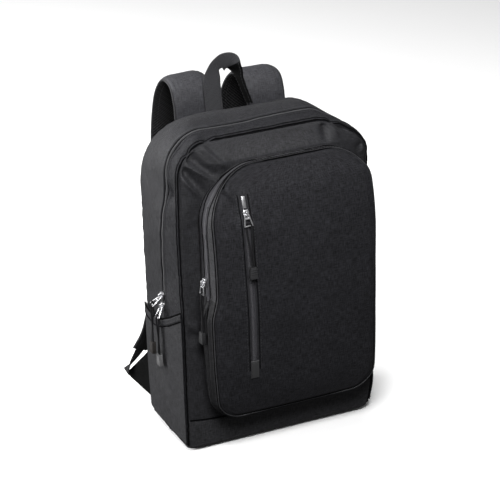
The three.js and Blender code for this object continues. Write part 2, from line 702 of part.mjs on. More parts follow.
// Half widths of the face at a height, inside the gusset's wall
function faceSide(z, sign) {
  const [foot, top] = [POCKET_BOTTOM + POCKET_SEAM, POCKET_TOP - POCKET_SEAM];
  const low = POCKET_BOTTOM_CORNER - POCKET_SEAM;
  const high = (sign < 0 ? POCKET_LEFT_CORNER : POCKET_RIGHT_CORNER) - POCKET_SEAM;
  const into = Math.max(z - (top - high), 0) / high;
  const under = Math.max(foot + low - z, 0) / low;
  const cut = high * (1 - Math.sqrt(Math.max(1 - into * into, 0)));
  const scoop = low * (1 - Math.sqrt(Math.max(1 - under * under, 0)));
  const half = POCKET_HALF_WIDTH - cut - scoop;
  const grow = pocketRow(sign < 0 ? 'left' : 'right', z) * (half / POCKET_HALF_WIDTH);
  return POCKET_CENTRE + sign * (half + grow - POCKET_SEAM);
}

function faceDepth(x, z) {
  const side = x < POCKET_CENTRE ? -1 : 1;
  const reach = Math.abs(faceSide(z, side) - POCKET_CENTRE);
  const across = Math.min(Math.abs(x - POCKET_CENTRE) / reach, 1);
  const up = Math.min(Math.max((z - POCKET_BOTTOM) / (POCKET_TOP - POCKET_BOTTOM), 0), 1);
  const swell = POCKET_SWELL * (1 - across ** 3) * Math.sqrt(Math.sin(Math.PI * up));
  return pocketRow('rim', z) - swell + creaseDepth(FACE_CREASES, x, z);
}

function facePoint(x, z) {
  return new THREE.Vector3(x, faceDepth(x, z), z);
}

// Upright bar that cuts the slot through the face
function slotCutter() {
  const half = SLOT_WIDTH / 2;
  const bar = new THREE.Shape();
  bar.moveTo(SLOT_X - half, SLOT_BOTTOM);
  bar.lineTo(SLOT_X + half, SLOT_BOTTOM);
  bar.lineTo(SLOT_X + half, SLOT_TOP);
  bar.lineTo(SLOT_X - half, SLOT_TOP);
  const cutter = new THREE.ExtrudeGeometry(bar, { depth: SLOT_CUT_DEPTH, bevelEnabled: false });
  cutter.rotateX(Math.PI / 2);
  cutter.translate(0, -SLOT_CUT_DEPTH, 0);
  return cutter;
}

function addPocketFace() {
  const [foot, top] = [POCKET_BOTTOM + POCKET_SEAM, POCKET_TOP - POCKET_SEAM];
  const face = (u, v) => {
    const z = lerp(foot, top, 0.5 - 0.5 * Math.cos(Math.PI * v));
    return facePoint(lerp(faceSide(z, -1), faceSide(z, 1), u), z);
  };
  const sheet = solidOf(wall(face, 14, 16));
  piece('pocket_face', geometryOf(sheet.subtract(solidOf(slotCutter()))), COLOURS.cloth);
}

function addSlot() {
  const half = SLOT_WIDTH / 2 - GAP;
  const strip = (u, v) => facePoint(
    lerp(SLOT_X - half, SLOT_X + half, u),
    lerp(SLOT_BOTTOM + GAP, SLOT_TOP - GAP, v),
  );
  const options = {
    thick: (u) => ZIP_WALL + coil(u, SLOT_COIL_RISE),
    out: (u) => coil(u, SLOT_COIL_RISE) - SLOT_RECESS,
  };
  piece('slot_zip', wall(strip, 4, 14, options), COLOURS.tape);
  const stop = (u, v) => facePoint(
    SLOT_X + lerp(-0.5, 0.5, u) * TOP_STOP.width,
    SLOT_TOP - TOP_STOP.inset - (1 - v) * TOP_STOP.length,
  );
  const stopOut = SLOT_COIL_RISE - SLOT_RECESS + GAP + TOP_STOP.thick;
  piece('slot_top_stop', wall(stop, 2, 3, { thick: TOP_STOP.thick, out: stopOut }), COLOURS.metal, METAL);
  const patch = (u, v) => facePoint(
    SLOT_X + lerp(-0.5, 0.5, u) * END_PATCH.width,
    SLOT_BOTTOM - END_PATCH.below + v * END_PATCH.length,
  );
  const patchOut = GAP + END_PATCH.lift + END_PATCH.thick;
  piece('slot_end_patch', wall(patch, 2, 4, { thick: END_PATCH.thick, out: patchOut }), COLOURS.rubber);
}

// Side pockets
function addSidePocket(name, sign) {
  const place = (t, z) => settle(new THREE.Vector3(sign * halfWidth(t, z), depthAt(t, z), z));
  const share = (u) => (sign < 0 ? lerp(0.02, 0.98, u) : lerp(0.98, 0.02, u));
  const hem = (t) => column(HEM_LINE, 't', 'z', t);
  const lift = (t, z) => {
    const up = Math.max(z - SIDE_POCKET_FOOT, 0) / (hem(t) - SIDE_POCKET_FOOT);
    return SIDE_POCKET_LIFT * Math.sin(Math.PI * t) ** 0.7 * up ** 0.8;
  };
  const cloth = (u, v) => {
    const t = share(v);
    return place(t, lerp(SIDE_POCKET_FOOT, hem(t) - HEM_HEIGHT - GAP, u));
  };
  const band = (u, v) => {
    const t = share(v);
    return place(t, lerp(hem(t) - HEM_HEIGHT, hem(t), u));
  };
  const over = (build, base) => (u, v) => base + lift(share(v), build(u, v).z);
  const clothOut = over(cloth, SIDE_POCKET_CLEAR + SIDE_POCKET_WALL);
  const bandOut = over(band, HEM_CLEAR + SIDE_POCKET_WALL);
  piece(`side_pocket_${name}`, wall(cloth, 7, 10, { thick: SIDE_POCKET_WALL, out: clothOut }), COLOURS.cloth);
  piece(`side_hem_${name}`, wall(band, 1, 10, { thick: HEM_WALL, out: bandOut }), COLOURS.cloth);
}

// Flat band along a table of places: its width turns about the vertical and tips over by the table's columns,
// and is the table's own where none is given
function bandSurface(rows, { width, mirror = 1 } = {}) {
  const line = new THREE.CatmullRomCurve3(rows.map((row) => new THREE.Vector3(row.x, row.y, row.z)), false);
  const stations = rows.map((row, i) => ({ tip: 0, ...row, at: i / (rows.length - 1) }));
  const angle = (name, u) => THREE.MathUtils.degToRad(column(stations, 'at', name, u));
  return (u, v) => {
    const along = line.getTangent(u);
    const across = new THREE.Vector3(Math.cos(angle('tip', u)), 0, -Math.sin(angle('tip', u)));
    across.applyAxisAngle(new THREE.Vector3(0, 0, 1), angle('turn', u));
    across.addScaledVector(along, -across.dot(along)).normalize();
    const wide = width ?? column(stations, 'at', 'wide', u);
    const place = line.getPoint(u).addScaledVector(across, (v - 0.5) * wide);
    return new THREE.Vector3(place.x * mirror, place.y, place.z);
  };
}

function addStrap(name, mirror) {
  const rows = STRAP_ROWS.map((row) => ({
    ...row,
    x: row.x + row.drift * STRAP_DRIFT[name],
    z: row.z - row.sag * STRAP_SAG[name],
  }));
  const stations = rows.map((row, i) => ({ ...row, at: i / (rows.length - 1) }));
  const crown = (v) => 1 - Math.abs(2 * v - 1) ** 4;
  const thick = (u, v) => lerp(STRAP_EDGE, column(stations, 'at', 'thick', u), crown(v));
  const strap = bandSurface(rows, { mirror });
  piece(`shoulder_strap_${name}`, wall(strap, 22, 5, { thick, both: true }), COLOURS.cloth);
  const webbing = bandSurface(WEBBING_ROWS, { width: WEBBING_WIDTH, mirror });
  const flat = { thick: WEBBING_THICK, both: true };
  piece(`strap_webbing_${name}`, wall(webbing, 4, 1, flat), COLOURS.webbing);
  const seamX = halfWidth(1, WING_LOW) - SEAM_INSET / 2;
  const wing = (u, v) => {
    const z = lerp(WING_LOW, WING_HIGH, v);
    const tip = WING_TIP_LOW.clone().lerp(WING_TIP_HIGH, v);
    const place = new THREE.Vector3(-seamX, depthAt(1, z) + GAP, z).lerp(tip, u);
    return new THREE.Vector3(place.x * mirror, place.y, place.z);
  };
  piece(`strap_wing_${name}`, wall(wing, 4, 3, { thick: WALL, both: true }), COLOURS.webbing);
}

function addHandle() {
  const flat = { thick: HANDLE_THICK, both: true };
  const handle = bandSurface(HANDLE_ROWS);
  piece('grab_handle', wall(handle, 26, 2, flat), COLOURS.webbing);
}

// Zip pulls

// Slider: a shield-shaped body with a bridge over it, in a frame with Y up the zip and Z off the cloth
function sliderGeometry() {
  const [half, long] = [SLIDER.width / 2, SLIDER.length / 2];
  const shield = new THREE.Shape();
  shield.moveTo(-half * 0.62, -long);
  shield.lineTo(half * 0.62, -long);
  shield.lineTo(half, long * 0.5);
  shield.lineTo(half * 0.7, long);
  shield.lineTo(-half * 0.7, long);
  shield.lineTo(-half, long * 0.5);
  const body = new THREE.ExtrudeGeometry(shield, { depth: SLIDER.thick, bevelEnabled: false });
  const arch = new THREE.Shape();
  arch.moveTo(-long * 0.75, 0);
  arch.lineTo(long * 0.85, 0);
  arch.lineTo(long * 0.6, EYE_FLOOR + EYE_HIGH + EYE_ROOF);
  arch.lineTo(-long * 0.55, EYE_FLOOR + EYE_HIGH + EYE_ROOF);
  const hole = new THREE.Path();
  hole.moveTo(EYE_BACK, EYE_FLOOR);
  hole.lineTo(EYE_BACK + EYE_LONG, EYE_FLOOR);
  hole.lineTo(EYE_BACK + EYE_LONG, EYE_FLOOR + EYE_HIGH);
  hole.lineTo(EYE_BACK, EYE_FLOOR + EYE_HIGH);
  arch.holes.push(hole);
  const bridge = new THREE.ExtrudeGeometry(arch, { depth: SLIDER.bridge, bevelEnabled: false });
  bridge.translate(0, 0, -SLIDER.bridge / 2);
  bridge.applyMatrix4(new THREE.Matrix4().makeBasis(
    new THREE.Vector3(0, 1, 0),
    new THREE.Vector3(0, 0, 1),
    new THREE.Vector3(1, 0, 0),
  ));
  bridge.translate(0, 0, SLIDER.thick - BRIDGE_SINK);
  return geometryOf(solidOf(body).add(solidOf(bridge)));
}

// Link: a flat A with an eye for the slider's bridge and one for the cord, hung from its top bar's middle
function linkGeometry() {
  const [top, bottom, bar] = [LINK.topWidth / 2, LINK.bottomWidth / 2, LINK.bar];
  const halfAt = (y) => lerp(top, bottom, -y / LINK.length);
  const frame = new THREE.Shape();
  frame.moveTo(-top, 0);
  frame.lineTo(-bottom, -LINK.length);
  frame.lineTo(bottom, -LINK.length);
  frame.lineTo(top, 0);
  const eye = (high, low) => {
    const path = new THREE.Path();
    path.moveTo(-halfAt(high) + bar, high);
    path.lineTo(-halfAt(low) + bar, low);
    path.lineTo(halfAt(low) - bar, low);
    path.lineTo(halfAt(high) - bar, high);
    return path;
  };
  frame.holes.push(eye(-bar, -bar - LINK.upper));
  frame.holes.push(eye(-2 * bar - LINK.upper, -LINK.length + bar));
  const geometry = new THREE.ExtrudeGeometry(frame, { depth: bar, bevelEnabled: false });
  geometry.translate(0, bar / 2, -bar / 2);
  return geometry;
}

// Tip: a wedge that widens downwards, with its top at zero
function tipGeometry() {
  const [top, bottom] = [TIP.top / 2, TIP.bottom / 2];
  const wedge = new THREE.Shape();
  wedge.moveTo(-top, 0);
  wedge.lineTo(-bottom * 0.96, -TIP.length * 0.7);
  wedge.lineTo(-bottom, -TIP.length);
  wedge.lineTo(bottom, -TIP.length);
  wedge.lineTo(bottom * 0.96, -TIP.length * 0.7);
  wedge.lineTo(top, 0);
  const geometry = new THREE.ExtrudeGeometry(wedge, { depth: TIP.thick, bevelEnabled: false });
  geometry.translate(0, 0, -TIP.thick / 2);
  return geometry;
}

// Cord: up one side of the link's lower bar, through the link and down the other side to the tip's top
function cordGeometry() {
  const drop = PULL_CORD;
  const slant = CORD_LOOP * Math.SQRT1_2;
  const side = (CORD_DIAMETER + STRAND_GAP) / 2;
  const strand = (s) => [
    new THREE.Vector3(s * side, -drop, 0),
    new THREE.Vector3(s * side * 1.1, -drop * 0.8, s * 0.2),
    new THREE.Vector3(s * lerp(side, slant, 0.45), -drop * 0.5, s * slant * 0.4),
    new THREE.Vector3(s * slant, -drop * 0.2, s * slant * 0.9),
    new THREE.Vector3(s * slant, 0, s * slant),
  ];
  const turn = [45, 90, 135].map((angle) => {
    const a = THREE.MathUtils.degToRad(angle);
    const reach = Math.cos(a) * slant;
    return new THREE.Vector3(reach, Math.sin(a) * CORD_LOOP, reach);
  });
  const line = new THREE.CatmullRomCurve3([...strand(1), ...turn, ...strand(-1).reverse()]);
  const round = new THREE.Shape();
  for (let i = 0; i < CORD_SIDES; i += 1) {
    const a = (i / CORD_SIDES) * Math.PI * 2;
    const [x, y] = [Math.cos(a) * CORD_DIAMETER / 2, Math.sin(a) * CORD_DIAMETER / 2];
    if (i === 0) round.moveTo(x, y);
    else round.lineTo(x, y);
  }
  return new THREE.ExtrudeGeometry(round, { steps: CORD_STEPS, bevelEnabled: false, extrudePath: line });
}

// One pull: the slider sits on the zip, the link hangs from it, swung aside and off the cloth, and the cord
// hangs down from the link, tilted off the upright
function addPull(name, { place, normal, zipUp, swing, lean, tilt }) {
  const zip = new THREE.Group();
  const out = normal.clone().normalize();
  const up = zipUp.clone().addScaledVector(out, -zipUp.dot(out)).normalize();
  const zipTurn = new THREE.Matrix4().makeBasis(up.clone().cross(out), up, out);
  zip.applyMatrix4(zipTurn.setPosition(place));
  rucksack.add(zip);
  const slider = piece(`${name}_slider`, sliderGeometry(), COLOURS.metal, { ...METAL, parent: zip });
  slider.position.z = GAP;
  const hang = new THREE.Group();
  const eyeHeight = GAP + SLIDER.thick - BRIDGE_SINK + EYE_FLOOR + EYE_HIGH / 2;
  hang.position.set(0, EYE_BACK + EYE_LONG / 2, eyeHeight);
  hang.rotation.set(-lean, 0, swing);
  zip.add(hang);
  piece(`${name}_link`, linkGeometry(), COLOURS.metal, { ...METAL, parent: hang });
  zip.updateMatrixWorld(true);
  const cord = new THREE.Group();
  const flat = new THREE.Vector3(out.x, out.y, 0).normalize();
  const upright = new THREE.Vector3(0, 0, 1);
  const down = upright.multiplyScalar(Math.cos(tilt)).addScaledVector(flat, -Math.sin(tilt));
  const away = down.clone().cross(new THREE.Vector3().crossVectors(flat, down)).negate();
  const loop = new THREE.Vector3(0, -LINK.length + LINK.bar, 0).applyMatrix4(hang.matrixWorld);
  cord.applyMatrix4(new THREE.Matrix4().makeBasis(down.clone().cross(away), down, away).setPosition(loop));
  rucksack.add(cord);
  piece(`${name}_cord`, cordGeometry(), COLOURS.webbing, { parent: cord });
  const tip = piece(`${name}_tip`, tipGeometry(), COLOURS.rubber, { parent: cord });
  tip.position.y = -PULL_CORD - GAP;
}

// Place, upward line and outward normal of a zip at a station of a surface, off its coil
function zipSeat(surface, along, across, rise) {
  const step = 0.004;
  const place = surface(along, across);
  const zipUp = surface(along + step, across).sub(place).normalize();
  const beside = surface(along, across + 0.02).sub(surface(along, across - 0.02)).normalize();
  const normal = zipUp.clone().cross(beside);
  return { place: place.addScaledVector(normal, rise), normal, zipUp };
}

function addPulls() {
  const rise = ZIP_COIL_RISE - ZIP_SINK;
  for (const row of MAIN_PULLS) {
    const p = placeAtHeight(row.z);
    addPull(row.name, { ...row, ...zipSeat(bodyPoint, p, mainZipShare(p), rise) });
  }
  const pocketSeat = zipSeat(pocketWallPoint, POCKET_ZIP_START + POCKET_SLIDER_UP, 0.5, rise);
  addPull('pocket', { ...POCKET_PULL, ...pocketSeat });
  const slotLine = (z, x) => facePoint(-x, z);
  const slotHeight = SLOT_TOP - TOP_STOP.length - SLOT_SLIDER_DROP;
  const slotSeat = zipSeat(slotLine, slotHeight, -SLOT_X, SLOT_COIL_RISE - SLOT_RECESS);
  addPull('slot', { ...SLOT_PULL, ...slotSeat });
}

addGussets();
addPanels();
addBase();
addPocketGusset();
addPocketFace();
addSlot();
addSidePocket('left', -1);
addSidePocket('right', 1);
addStrap('left', 1);
addStrap('right', -1);
addHandle();
addPulls();

export default rucksack;
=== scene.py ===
"""Looks of a cloth rucksack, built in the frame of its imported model.

The rucksack stands on its base with its front towards -Y. Sizes are in millimetres in the model's frame and
become metres when a mesh is made. Every cloth surface is a grid worked out from its piece's tables.
"""

import logging
import math
from dataclasses import Field, dataclass, field
from enum import Enum
from typing import Callable, Sequence

import bpy
import numpy as np
from mathutils import Matrix, Vector


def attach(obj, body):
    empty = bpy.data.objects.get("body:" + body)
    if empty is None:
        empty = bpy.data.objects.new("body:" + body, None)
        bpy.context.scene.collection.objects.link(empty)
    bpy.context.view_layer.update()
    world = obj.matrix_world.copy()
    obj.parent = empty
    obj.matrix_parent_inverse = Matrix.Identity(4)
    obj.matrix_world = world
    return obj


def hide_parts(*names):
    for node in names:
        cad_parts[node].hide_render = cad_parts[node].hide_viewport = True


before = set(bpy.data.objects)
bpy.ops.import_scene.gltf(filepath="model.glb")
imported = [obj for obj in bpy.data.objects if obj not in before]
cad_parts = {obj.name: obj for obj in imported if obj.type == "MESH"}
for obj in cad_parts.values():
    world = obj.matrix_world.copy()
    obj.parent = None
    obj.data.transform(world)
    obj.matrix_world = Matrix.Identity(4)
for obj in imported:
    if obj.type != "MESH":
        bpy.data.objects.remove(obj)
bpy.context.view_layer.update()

Array = np.ndarray
Surface = Callable[[Array, Array], Array]
Pair = tuple[float, float]
Triple = tuple[float, float, float]
Colour = Triple
Line = tuple[Array, Array]
Socket = bpy.types.NodeSocket
Material = bpy.types.Material
LOG = logging.getLogger("rucksack")
MM = 0.001
TAU = 2 * math.pi
GAP = 0.35
BODY = "root"
FORWARDS = (0.0, -1.0, 0.0)
TAPE_WALL = 0.6
STITCH = 3.9
PROUD = 0.1


class Side(Enum):
    """The two sides of the rucksack, by the sign of X."""

    LEFT = -1
    RIGHT = 1

    @property
    def word(self) -> str:
        """Name of the side in the names of pieces."""
        return self.name.lower()


def smooth(value: Array, low: float, high: float) -> Array:
    """Smooth step from 0 at low to 1 at high."""
    s = np.clip((np.asarray(value, float) - low) / (high - low), 0, 1)
    return s * s * (3 - 2 * s)


def bell(distance: Array, reach: float) -> Array:
    """Bell of height 1 around zero that has died away at three times its reach."""
    return np.exp(-((distance / reach) ** 2))


def mix(a: Array, b: Array, s: Array) -> Array:
    """Straight blend from a to b."""
    return a + (b - a) * s


def unit(vectors: Array) -> Array:
    """Vectors scaled to length one along the last axis."""
    return vectors / np.maximum(np.linalg.norm(vectors, axis=-1, keepdims=True), 1e-12)


def matched(u: Array, v: Array) -> list[Array]:
    """Two coordinates spread over one another's shapes."""
    return np.broadcast_arrays(np.asarray(u, float), np.asarray(v, float))


def xyz(x: Array, y: Array, z: Array) -> Array:
    """Points from their three coordinates, spread over one another's shapes."""
    return np.stack(np.broadcast_arrays(x, y, z), -1)


def ripple(u: Array, v: Array, length: float, seed: int) -> Array:
    """Soft seeded unevenness, mostly within -1 to 1.

    The sum of plane waves whose directions, phases and lengths around the given one come from the seed.

    Args:
        u: First coordinate in millimetres.
        v: Second coordinate in millimetres.
        length: Middle wavelength in millimetres.
        seed: Seed of the draw.

    Returns:
        Height at each point.
    """
    rng, waves = np.random.default_rng(seed), 14
    turn, phase = rng.uniform(0, TAU, waves), rng.uniform(0, TAU, waves)
    pitch = length * rng.uniform(0.6, 1.7, waves)
    u, v = matched(u, v)
    total = np.zeros(u.shape)
    for a, b, c in zip(turn, phase, pitch):
        total += np.sin(TAU * (u * math.cos(a) + v * math.sin(a)) / c + b)
    return total / math.sqrt(waves)


class Table:
    """Rows of named columns, read between the rows on a curve that never overshoots them."""

    def __init__(self, key: str, **columns: Sequence[float]) -> None:
        """Keeps the columns as arrays; key names the one that the rows are sorted by."""
        self.key = key
        self.columns = {name: np.array(values, float) for name, values in columns.items()}

    def read(self, name: str, at: Array) -> Array:
        """Value of a column: a cubic between rows whose slopes are harmonic means of the neighbouring ones.

        Args:
            name: Column to read.
            at: Places along the key column.

        Returns:
            The column's value at each place.
        """
        x, y = self.columns[self.key], self.columns[name]
        span = np.diff(x)
        rise = np.diff(y) / span
        both = rise[:-1] * rise[1:]
        inner = np.where(both > 0, 2 * both / np.where(both > 0, rise[:-1] + rise[1:], 1), 0)
        slope = np.concatenate([rise[:1], inner, rise[-1:]])
        at = np.clip(np.asarray(at, float), x[0], x[-1])
        i = np.clip(np.searchsorted(x, at, side="right") - 1, 0, len(span) - 1)
        s = (at - x[i]) / span[i]
        step = s * s * (3 - 2 * s)
        ends = s * (1 - s) ** 2 * slope[i] + s * s * (s - 1) * slope[i + 1]
        return y[i] * (1 - step) + y[i + 1] * step + span[i] * ends


def table(key: str, **columns: Sequence[float]) -> Field:
    """Field of a class that holds a table of its own."""
    return field(default_factory=lambda: Table(key, **columns))


def through(points: Array, at: Array) -> Array:
    """Curve through points at shares of their count, each stretch a cubic spaced by the root of its length.

    Args:
        points: Places that the curve passes, one row each.
        at: Shares from 0 to 1.

    Returns:
        Points of the curve.
    """
    whole = np.vstack([2 * points[0] - points[1], points, 2 * points[-1] - points[-2]])
    gaps = np.sqrt(np.linalg.norm(np.diff(whole, axis=0), axis=1))
    place = np.clip(np.asarray(at, float), 0, 1) * (len(points) - 1)
    i = np.minimum(place.astype(int), len(points) - 2)
    s = (place - i)[..., None]
    p0, p1, p2, p3 = (whole[i + k] for k in range(4))
    d0, d1, d2 = (gaps[i + k][..., None] for k in range(3))
    out = ((p1 - p0) / d0 - (p2 - p0) / (d0 + d1) + (p2 - p1) / d1) * d1
    back = ((p2 - p1) / d1 - (p3 - p1) / (d1 + d2) + (p3 - p2) / d2) * d1
    bend = 3 * (p2 - p1) - 2 * out - back
    twist = 2 * (p1 - p2) + out + back
    return p1 + out * s + bend * s**2 + twist * s**3


def trace(surface: Surface, u: Array, v: Array, lift: float = 0.0) -> Line:
    """Line on a surface: its points, raised along the normal, and the normals.

    Args:
        surface: Function of two stations.
        u: First stations.
        v: Second stations.
        lift: Height over the surface in millimetres.

    Returns:
        Points and unit normals.
    """
    step = 1e-3
    u, v = matched(u, v)
    along = surface(u + step, v) - surface(u - step, v)
    across = surface(u, v + step) - surface(u, v - step)
    normal = unit(np.cross(along, across))
    return surface(u, v) + normal * lift, normal


def evened(path: Array, extra: Array, step: float) -> tuple[Array, Array, Array]:
    """Path taken at even steps.

    Args:
        path: Points.
        extra: Directions at the points.
        step: Length of a step in millimetres.

    Returns:
        Points, unit directions and unit tangents.
    """
    run = np.concatenate([[0], np.cumsum(np.linalg.norm(np.diff(path, axis=0), axis=1))])
    at = np.linspace(0, run[-1], max(int(run[-1] / step), 2))
    points = np.stack([np.interp(at, run, path[:, k]) for k in range(3)], -1)
    other = np.stack([np.interp(at, run, extra[:, k]) for k in range(3)], -1)
    return points, unit(other), unit(np.gradient(points, axis=0))


def cosine(count: int) -> Array:
    """Stations from 0 to 1 that crowd together at both ends."""
    return 0.5 - 0.5 * np.cos(np.linspace(0, math.pi, count))


def tuck(distance: Array, deep: float, reach: float, start: float = 0.0) -> Array:
    """How far cloth turns in at a distance from its seam: fully up to the start, not past the reach."""
    return deep * (1 - smooth(distance, start, reach))


def repeated(row: Sequence[float], count: int) -> Array:
    """One row of numbers repeated for every point of a line."""
    return np.tile(np.asarray(row, float), (count, 1))


@dataclass(frozen=True)
class Slack:
    """Slack of a cloth: waves of unevenness, each with its height, its length and its seed."""

    waves: tuple[tuple[float, float, int], ...]

    def height(self, u: Array, v: Array) -> Array:
        """Height of all the waves together at places of the cloth, in millimetres."""
        return sum(high * ripple(u, v, length, seed) for high, length, seed in self.waves)


# Meshes


@dataclass
class Shape:
    """Points in millimetres with their faces, flat coordinates in metres and each face's material."""

    points: Array
    faces: list
    flat: Array
    kinds: Array | None = None


def grid_faces(rows: int, columns: int, close_rows: bool = False, close_columns: bool = False) -> Array:
    """Four-cornered faces of a grid of points, closed on itself where asked."""
    i = np.arange(rows if close_rows else rows - 1)[:, None]
    j = np.arange(columns if close_columns else columns - 1)[None, :]
    a, b = i * columns, (i + 1) % rows * columns
    c = (j + 1) % columns
    return np.stack([a + j, b + j, b + c, a + c], -1).reshape(-1, 4)


def grid_normals(points: Array, close_rows: bool = False, close_columns: bool = False) -> Array:
    """Unit normals of a grid of points, rows cross columns."""
    wrapped = np.pad(points, ((1, 1), (1, 1), (0, 0)), mode="edge")
    if close_rows:
        wrapped[0, 1:-1], wrapped[-1, 1:-1] = points[-1], points[0]
    if close_columns:
        wrapped[1:-1, 0], wrapped[1:-1, -1] = points[:, -1], points[:, 0]
    along = wrapped[2:, 1:-1] - wrapped[:-2, 1:-1]
    across = wrapped[1:-1, 2:] - wrapped[1:-1, :-2]
    return unit(np.cross(along, across))


def grid_shape(points: Array, close_rows: bool = False, close_columns: bool = False) -> Shape:
    """Grid as a shape whose flat coordinates are its mean lengths along and across."""
    rows, columns = points.shape[:2]
    along = np.linalg.norm(np.diff(points, axis=0), axis=-1).mean(1)
    across = np.linalg.norm(np.diff(points, axis=1), axis=-1).mean(0)
    u = np.concatenate([[0], np.cumsum(along)]) * MM
    v = np.concatenate([[0], np.cumsum(across)]) * MM
    flat = np.stack(np.broadcast_arrays(u[:, None], v[None, :]), -1).reshape(-1, 2)
    return Shape(points.reshape(-1, 3), grid_faces(rows, columns, close_rows, close_columns).tolist(), flat)


def caps(rows: int, sides: int) -> list[list[int]]:
    """Faces that close both ends of a grid of rings."""
    return [list(range(sides)), list(range((rows - 1) * sides, rows * sides))[::-1]]


def tube_shape(path: Array, normal: Array, radius: float | Array, sides: int = 8, wide: float = 1.0) -> Shape:
    """Tube along a path: rings in the plane of the normal and the line across it.

    Args:
        path: Middle line.
        normal: Normals along it.
        radius: Radius, one or one for each point.
        sides: Points of a ring.
        wide: Factor that widens the rings across.

    Returns:
        The tube with closed ends.
    """
    tangent = unit(np.gradient(path, axis=0))
    side = unit(np.cross(tangent, normal))
    up = np.cross(side, tangent)
    turn = np.arange(sides) / sides * TAU
    size = np.broadcast_to(np.asarray(radius, float), len(path))[:, None, None]
    ring = side[:, None] * np.cos(turn)[:, None] * wide + up[:, None] * np.sin(turn)[:, None]
    shape = grid_shape(path[:, None] + ring * size, close_columns=True)
    shape.faces = [face[::-1] for face in shape.faces] + caps(len(path), sides)
    return shape


def strung(ring: Array, path: Array, normal: Array, pitch: float) -> Shape:
    """Copies of a small grid of rings along a path, one each pitch, turned to run along it.

    Args:
        ring: Grid of points, with X along the path and Z off the cloth.
        path: Middle line.
        normal: Normals along it.
        pitch: Distance of the copies.

    Returns:
        All copies as one shape.
    """
    at, up, along = evened(path, normal, pitch)
    axes = enumerate((along, unit(np.cross(along, up)), up))
    template, count = ring.reshape(-1, 3), len(at)
    points = at[:, None] + sum(template[None, :, k, None] * axis[:, None] for k, axis in axes)
    faces = grid_faces(*ring.shape[:2], close_columns=True)
    every = faces[None] + (np.arange(count) * len(template))[:, None, None]
    flat = np.tile(template[:, :2] * MM, (count, 1))
    return Shape(points.reshape(-1, 3), every.reshape(-1, 4).tolist(), flat)


def joined(shapes: Sequence[Shape]) -> Shape:
    """Several shapes as one."""
    faces, start = [], 0
    for shape in shapes:
        faces += [[k + start for k in face] for face in shape.faces]
        start += len(shape.points)
    return Shape(np.vstack([s.points for s in shapes]), faces, np.vstack([s.flat for s in shapes]))


def stitches(path: Array, normal: Array, pitch: float = STITCH) -> Shape:
    """Row of stitches: small lens-shaped threads lying along a path, one each pitch."""
    share, thick, sides = 0.74, 0.34, 6
    turn = np.arange(sides) / sides * TAU
    reach = np.array([-0.5, -0.3, 0, 0.3, 0.5]) * pitch * share
    swell = np.array([0.25, 0.8, 1, 0.8, 0.25]) * thick
    ring = xyz(reach[:, None], np.cos(turn) * swell[:, None], np.sin(turn) * swell[:, None])
    return strung(ring, path, normal, pitch)


def sewn_through(path: Array, normal: Array, half: float | Array, pitch: float = STITCH) -> list[Shape]:
    """Rows of stitches along a path on both faces of a band, at half its thickness from the middle."""
    off = normal * np.reshape(half, (-1, 1))
    return [stitches(path + off * face, normal, pitch) for face in (-1, 1)]


def coil(path: Array, normal: Array, half: float, rise: float, pitch: float) -> Shape:
    """Zip coil: a flattened arch of nylon across the zip at each pitch.

    Args:
        path: Middle of the zip.
        normal: Normals along it.
        half: Half the coil's width.
        rise: Height of an arch.
        pitch: Distance of the arches.

    Returns:
        The coil.
    """
    share, flatness, sides, steps = 0.36, 0.8, 6, 9
    turn = np.arange(sides) / sides * TAU
    bow = np.linspace(-1, 1, steps)
    height = rise * np.sqrt(np.maximum(1 - np.abs(bow) ** 3, 0))
    thick = pitch * share
    ring = xyz(np.cos(turn) * thick, (bow * half)[:, None], height[:, None] + np.sin(turn) * thick * flatness)
    return strung(ring, path, normal, pitch)


def placed(name: str, data: bpy.types.ID) -> bpy.types.Object:
    """New object of the scene, at the origin."""
    thing = bpy.data.objects.new(name, data)
    bpy.context.scene.collection.objects.link(thing)
    return thing


